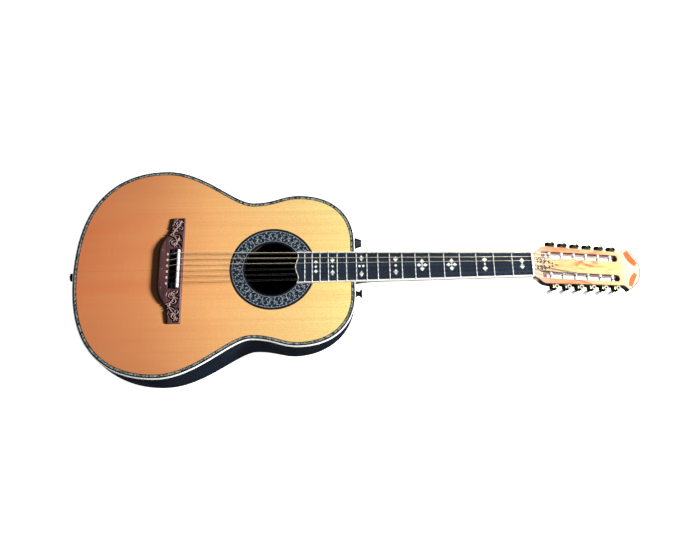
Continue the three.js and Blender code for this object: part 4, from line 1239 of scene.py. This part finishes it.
def wedge(start, end, width, low, high):
    """A tapering inlay between two points."""
    t = np.linspace(0, 1, 12)
    path = np.array(start) + np.outer(t, np.subtract(end, start))
    bow = np.array([end[1] - start[1], start[0] - end[0]], float)
    bow /= np.linalg.norm(bow)
    path += np.outer(np.sin(math.pi * t) * 1.6, bow * (1 if start[1] > 0 else -1))
    return ribbon(path, width * (0.72 + 0.28 * np.sin(math.pi * t)), low, high)


def crown_wedges():
    """Two orange wedges let in below the crown, the bass one the larger."""
    low, high = -0.5, INLAY_HIGH
    parts = [wedge((190, 34.5), (208.5, 9), 6.6, low, high), wedge((192, -34), (206, -8), 5.0, low, high)]
    piece("crown_wedges", on_head(joined(parts)), "wedge")


MOTIF_CURLS = (  # where each starts, its heading, length, turn and half-width
    (11, 0.5, 1.5, 40, -5.4, 0.85), (15, 1, 1.2, 24, -5.4, 0.75),
    (20, 1, 0.5, 26, 4.8, 0.45), (31, 1, 0.5, 18, -4.0, 0.4))
MOTIF_LEAVES = (  # where each starts, its heading and length
    (11, 6, 1.4, 5), (14, 4, 2.4, 5), (16, 8, 0.6, 5), (19, 5.5, 1.1, 6), (23, 7.5, 0.3, 5),
    (26, 5, 0.5, 6), (31, 5, 0.2, 5), (33, 2.4, 0.7, 5), (39, 2, 0.4, 5), (24, 1.5, 0.9, 5),
    (18, 1.5, 1.3, 5))


def leaf_motif():
    """A generic leaf scroll let into the face between the nut and the first rollers."""
    low, high = INLAY_LOW, INLAY_HIGH
    parts = []
    for side in (1, -1):
        for x, y, angle, length, turn, half_width in MOTIF_CURLS:
            parts.append(curl((x, side * y), side * angle, length, side * turn, half_width, low, high))
        for x, y, angle, length in MOTIF_LEAVES:
            parts.append(leaf((x, side * y), side * angle, length, 2.6, low, high, bend=side * 0.5))
    parts.append(leaf((44, 0), 0, 10, 2.4, low, high))
    piece("head_leaf_motif", on_head(joined(parts)), "engraving")


def crown_line():
    """A thin dark line let in along the edge of the crown."""
    outline = head_outline()
    middle = len(outline) // 2
    stretch = inset(outline, 1.1)[middle - 23:middle + 24]
    piece("crown_line", on_head(ribbon(stretch, 0.75, -0.3, 0.04)), "engraving")


# ---- The tuners ----------------------------------------------------------

def tuner_x(index):
    return TUNER_FIRST + TUNER_PITCH * index


def along_y(shape):
    """A turned shape laid so that its axis runs along Y."""
    return moved(shape, Matrix.Rotation(-math.pi / 2, 4, "X"))


def rounded_box(low, high, radius, corner=4):
    """A box with round upright corners."""
    low, high = np.array(low, float), np.array(high, float)
    x0, y0, x1, y1 = low[0] + radius, low[1] + radius, high[0] - radius, high[1] - radius
    points = []
    for k, (x, y) in enumerate(((x1, y1), (x0, y1), (x0, y0), (x1, y0))):
        for a in np.linspace(0, math.pi / 2, corner) + k * math.pi / 2:
            points.append((x + radius * math.cos(a), y + radius * math.sin(a)))
    return prism(points, low[2], high[2])


def screw(radius, height):
    """A screw's domed head, its axis along Z."""
    return turned([(radius, 0), (radius, height * 0.45), (radius * 0.75, height * 0.85),
                   (radius * 0.35, height)], 20)


def tuner_case(name, side, index):
    """A gear case: base plate, drum over the worm wheel, barrel round the worm, two screws and a collar."""
    x = tuner_x(index)
    wall = side_half(x + 3)
    bottom, top = CASE["bottom"], CASE["top"]
    base = rounded_box((x - CASE["before"], wall + 0.4, bottom), (x + CASE["after"], wall + 1.6, top), 0.5)
    drum = turned([(5.2, wall + 1.4), (5.2, wall + 8.2), (4.8, wall + 9.0), (3.2, wall + 9.5),
                   (1.4, wall + 9.5), (1.2, wall + 9.1), (0.3, wall + 9.1)], 36)
    web = rounded_box((x - 1, wall + 1.4, -10.2), (x + WORM_X, wall + 8.2, -2.2), 1.5)
    barrel = turned([(3.1, bottom), (4.1, bottom + 0.6), (4.1, -3.2), (4.5, -2.9), (4.5, top),
                     (4.2, top + 0.35), (3.0, top + 0.35), (2.6, top), (2.6, top - 1.6),
                     (0.4, top - 1.6)], 36)
    parts = [base, shifted(along_y(drum), x, 0, ROLLER_Z), web,
             shifted(barrel, x + WORM_X, wall + WORM_Y, 0)]
    for screw_x in (x - 4.3, x + CASE["after"] - 1.6):
        parts.append(shifted(along_y(shifted(screw(1.3, 0.8), z=wall + 1.6)), screw_x, 0, bottom + 2.4))
    piece(f"tuner_case_{name}_{index + 1}", on_head(on_side(joined(parts), side)), "case_dark",
          replaces=[f"tuner_cases_{name}"] if index == 0 else (), bevel=0.25)
    collar = shifted(ring_band(1.9, 4.5, top - 0.8, top + 0.45, 40, 0), x + WORM_X, wall + WORM_Y, 0)
    # Painted light: the collars on the near, treble side get a brighter metal, and those on the bass side get
    # the dark case metal. This stands in for how the light falls on each side.
    piece(f"tuner_collar_{name}_{index + 1}", on_head(on_side(collar, side)),
          "collar" if side < 0 else "case_dark", bevel=0.2)


def tuner_roller(name, side, index):
    """The steel spindle across the slot, with flanges, and the worm wheel on its end."""
    x = tuner_x(index)
    inner, outer = SLOT_Y - SLOT_W / 2, SLOT_Y + SLOT_W / 2
    wall = side_half(x)
    flange, drum = ROLLER_R + 0.5, ROLLER_R - 0.2
    profile = [(SHAFT_R, 8.3), (SHAFT_R, inner + 0.5), (flange, inner + 0.5), (flange, inner + 1.3),
               (drum, inner + 1.6), (drum, outer - 1.6), (flange, outer - 1.3),
               (flange, outer - 0.5), (SHAFT_R, outer - 0.5), (SHAFT_R, wall + WHEEL_IN),
               (WHEEL_R, wall + WHEEL_IN), (WHEEL_R, wall + WHEEL_IN + WHEEL_W)]
    shape = on_side(shifted(along_y(turned(profile, 28)), x, 0, ROLLER_Z), side)
    node = f"roller_{name}_{index + 1}"
    piece(f"steel_{node}", on_head(shape), "roller", body=node, replaces=[node])
    piece(f"winding_{name}_{index + 1}", on_head(winding(name, side, index, drum, inner + 1.6)),
          "wound" if side > 0 else "plain", body=node)


def winding(name, side, index, drum, drum_end, turns=4):
    """A string's coil on its roller, laid towards the slot's inner wall if it has room there."""
    radius, centre = STRING_R[name][index], WIND_Y[index]
    t = np.linspace(0, turns, turns * 20 + 1)
    coil_r = drum + radius
    length = turns * 2 * radius
    along = (t - turns) if centre - length >= drum_end else (turns - t)
    path = np.column_stack([coil_r * np.sin(math.tau * t), centre + along * 2 * radius,
                            coil_r * np.cos(math.tau * t)])
    return tube(path * (1, side, 1) + (tuner_x(index), 0, ROLLER_Z), radius)


def tuner_button(name, side, index):
    """An oval button on its stem, narrower towards the head, standing behind the head."""
    x = tuner_x(index) + WORM_X
    y = side * (side_half(tuner_x(index)) + WORM_Y)
    node = f"tuner_button_{name}_{index + 1}"
    thin, low, high = BUTTON["stem_r"], BUTTON["bottom"], BUTTON["top"]
    stem = turned([(thin, low + 3), (thin, -14.6), (2.4, -14.4), (2.4, -14.1), (thin, -14.0),
                   (thin, -12.2), (2.3, -12.2), (2.3, -2.4)], 24)
    piece(f"button_stem_{name}_{index + 1}", on_head(shifted(stem, x, y, 0)), "chrome",
          body=node, replaces=[node])
    rings = []
    for share, size in ((0, 0.7), (0.06, 0.88), (0.16, 0.97), (0.35, 1.0), (0.6, 0.97), (0.8, 0.84),
                        (0.92, 0.6), (1.0, 0.42)):
        thickness = BUTTON["half_t"] * (0.6 + 0.4 * size) * min(1, size + 0.1)
        ring = circle(1, 36) * (BUTTON["half_w"] * size, thickness)
        rings.append(at_height(ring + (x, y), low + (high - low) * share))
    piece(f"oval_button_{name}_{index + 1}", on_head(loft(rings)), "button",
          body=node, crease=70)


# ---- The strings ---------------------------------------------------------

def string_path(name, side, index):
    """From a string's anchor over the saddle and the nut, and down to its roller."""
    radius = STRING_R[name][index]
    pair = 1 if index % 2 == 0 else -1
    saddle_y = side * (COURSE_Y_SADDLE[index // 2] + pair * PAIR_AT_SADDLE)
    nut_y = side * (COURSE_Y_NUT[index // 2] + pair * PAIR_AT_NUT)
    on_roller = np.array([[tuner_x(index), side * WIND_Y[index], ROLLER_Z + ROLLER_R + radius]])
    (roller_top,), _ = on_head((on_roller, []))
    saddle_z, nut_z = SADDLE_HIGH[2] + radius, NUT_TOP + radius
    return [(NUT_X - 668, saddle_y, ANCHOR_Z), (NUT_X - 659.5, saddle_y, ANCHOR_Z),
            (SADDLE_LOW[0] + 0.5, saddle_y, saddle_z - 0.2),
            ((SADDLE_LOW[0] + SADDLE_HIGH[0]) / 2, saddle_y, saddle_z),
            (SADDLE_HIGH[0], saddle_y, saddle_z - 0.05),
            (NUT_X - 0.5, nut_y, nut_z - 0.3), (NUT_HIGH[0] - 1, nut_y, nut_z - 0.5),
            (NUT_HIGH[0] + 0.6, nut_y, nut_z - 0.9), tuple(roller_top)]


def strings():
    """Twelve taut wires; the thick ones of the bass side are wound."""
    for name, side in SIDES.items():
        for index in range(TUNERS):
            wire = tube(string_path(name, side, index), STRING_R[name][index], 10)
            piece(f"string_wire_{name}_{index + 1}", wire,
                  "wound" if side > 0 and index % 2 == 0 else "plain",
                  replaces=[f"string_{name}_{index + 1}"], crease=60)


# ---- Knob and strap buttons ----------------------------------------------

def along_x(shape, away=1):
    """A turned shape laid so that its axis runs along X."""
    return moved(shape, Matrix.Rotation(away * math.pi / 2, 4, "Y"))


def volume_knob():
    """A tapering fluted knob with a pointer mark, on a washer."""
    low, high = box_mm("volume_knob")
    place = (NECK_END, (low[1] + high[1]) / 2, (low[2] + high[2]) / 2)
    length, radius = high[0] - NECK_END, (high[2] - low[2]) / 2
    count = 72
    angles = np.arange(count) * math.tau / count
    flute = 1 - 0.035 * (np.cos(angles * 24) > 0)
    profile = ((1.0, 0.96, 0), (1.4, 1.0, 0), (2.6, 1.0, 0), (3.0, 0.94, 1), (length * 0.5, 0.8, 1),
               (length - 1.6, 0.66, 1), (length - 0.5, 0.62, 0), (length, 0.54, 0), (length, 0.4, 0))
    rings = []
    for height, size, fluted in profile:
        r = radius * size * (flute if fluted else np.ones(count))
        rings.append(np.column_stack([r * np.cos(angles), r * np.sin(angles), np.full(count, height)]))
    piece("fluted_knob", shifted(along_x(loft(rings)), *place), "black",
          body="volume_knob", replaces=["volume_knob"], crease=25)
    mark = rounded_box((length - 0.3, -0.5, radius * 0.2), (length, 0.5, radius * 0.5), 0.1)
    piece("knob_mark", shifted(mark, *place), "bone", body="volume_knob")
    washer = turned([(5, -1.5), (7.4, -1.5), (7.4, 0.2), (6.6, 0.7), (3.6, 0.7)], 48)
    piece("knob_washer", shifted(along_x(washer), *place), "black")


def strap_button(node, away):
    """A turned button; away is 1 if it points to the head and -1 if it points away from it."""
    low, high = box_mm(node)
    y, z = (low[1] + high[1]) / 2, (low[2] + high[2]) / 2
    radius = (high[2] - low[2]) / 2
    wall, tip = (low[0], high[0]) if away > 0 else (high[0], low[0])
    length = abs(tip - wall)
    outside = ((0.86, 0), (0.86, 0.12), (0.6, 0.26), (0.53, 0.45), (0.58, 0.62), (0.9, 0.74), (1, 0.82),
               (1, 0.92), (0.92, 1), (0.34, 1))
    screw_recess = [(radius * 0.3, length - 0.6), (radius * 0.05, length - 0.6)]
    profile = [(radius * r, length * h) for r, h in outside] + screw_recess
    shape = shifted(along_x(turned(profile, 48), away), wall, y, z)
    piece(f"{node}_turned", shape, "case_dark", replaces=[node])


# ---- CAD pieces that keep their shape ------------------------------------

def kept_nodes():
    """Materials for the CAD pieces inside the body and the neck; the wood inside the body is coloured near
    black, a painted shade.
    """
    for node, material in (("x_brace", "brace"), ("transverse_brace", "brace"), ("bridge_plate", "brace"),
                           ("neck_block", "brace"), ("truss_rod", "rod"), ("volume_pot", "pot")):
        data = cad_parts[node].data
        data.materials.clear()
        data.materials.append(MATERIALS[material])


# ---- The scene -----------------------------------------------------------

def camera():
    """The photograph's own view, from above the near side."""
    data = bpy.data.cameras.new("camera")
    data.lens = CAMERA["lens"]
    data.sensor_width = CAMERA["sensor"]
    eye = bpy.data.objects.new("camera", data)
    eye.location = Vector(CAMERA["place"]) * MM
    turn = Euler([math.radians(angle) for angle in CAMERA["turn"]], "ZYX")
    eye.rotation_euler = turn.to_matrix().to_euler("XYZ")
    bpy.context.scene.collection.objects.link(eye)
    bpy.context.scene.camera = eye


def lamp(name, place, target, size, power):
    """A round soft light aimed at a point; places in metres."""
    data = bpy.data.lights.new(name, "AREA")
    data.shape = "DISK"
    data.size = size
    data.energy = power
    made = bpy.data.objects.new(name, data)
    made.location = place
    made.rotation_mode = "QUATERNION"
    made.rotation_quaternion = (Vector(target) - Vector(place)).to_track_quat("-Z", "Y")
    bpy.context.scene.collection.objects.link(made)


def floor():
    """A plain pale sheet just under the guitar."""
    half = 6.0
    corners = [(-half, -half, 0), (half, -half, 0), (half, half, 0), (-half, half, 0)]
    mesh = bpy.data.meshes.new("floor")
    mesh.from_pydata(corners, [], [(0, 1, 2, 3)])
    p = Paint("floor_paper", roughness=0.9)
    mottle = p.noise(p.space(), 3.0, 2)
    p.feed("Base Color", p.ramp(mottle, [(0.3, (0.9, 0.9, 0.9)), (0.7, (0.94, 0.94, 0.94))]))
    p.set("Emission Color", (1, 1, 1, 1))
    p.set("Emission Strength", 1.0)
    p.set("Specular IOR Level", 0.0)
    mesh.materials.append(p.material)
    made = bpy.data.objects.new("floor", mesh)
    bpy.context.scene.collection.objects.link(made)
    made.location = (0, 0, -0.0005)
    made.visible_glossy = False


def light_and_floor():
    """A dim white world, a strong light beyond the head and a weak one on the near side."""
    scene = bpy.context.scene
    scene.view_settings.view_transform = "Standard"
    world = bpy.data.worlds.new("studio")
    world.use_nodes = True
    background = world.node_tree.nodes["Background"]
    background.inputs["Color"].default_value = (1, 1, 1, 1)
    background.inputs["Strength"].default_value = 0.04
    scene.world = world
    lamp("key", (2.9, -0.2, 1.6), (0, 0, 0.1), size=0.75, power=240)
    lamp("near side", (0.2, -2.4, 0.9), (0, 0, 0.1), size=1.0, power=2.5)
    floor()


camera()
bowl()
soundboard()
edge_trim()
rosette()
bridge()
bridge_fittings()
saddle()
fretboard()
frets()
fret_inlays()
neck()
nut()
headstock()
crown_wedges()
leaf_motif()
crown_line()
for side_name, side_sign in SIDES.items():
    for tuner in range(TUNERS):
        tuner_case(side_name, side_sign, tuner)
        tuner_roller(side_name, side_sign, tuner)
        tuner_button(side_name, side_sign, tuner)
strings()
volume_knob()
strap_button("strap_button_tail", -1)
strap_button("strap_button_neck", 1)
kept_nodes()
light_and_floor()
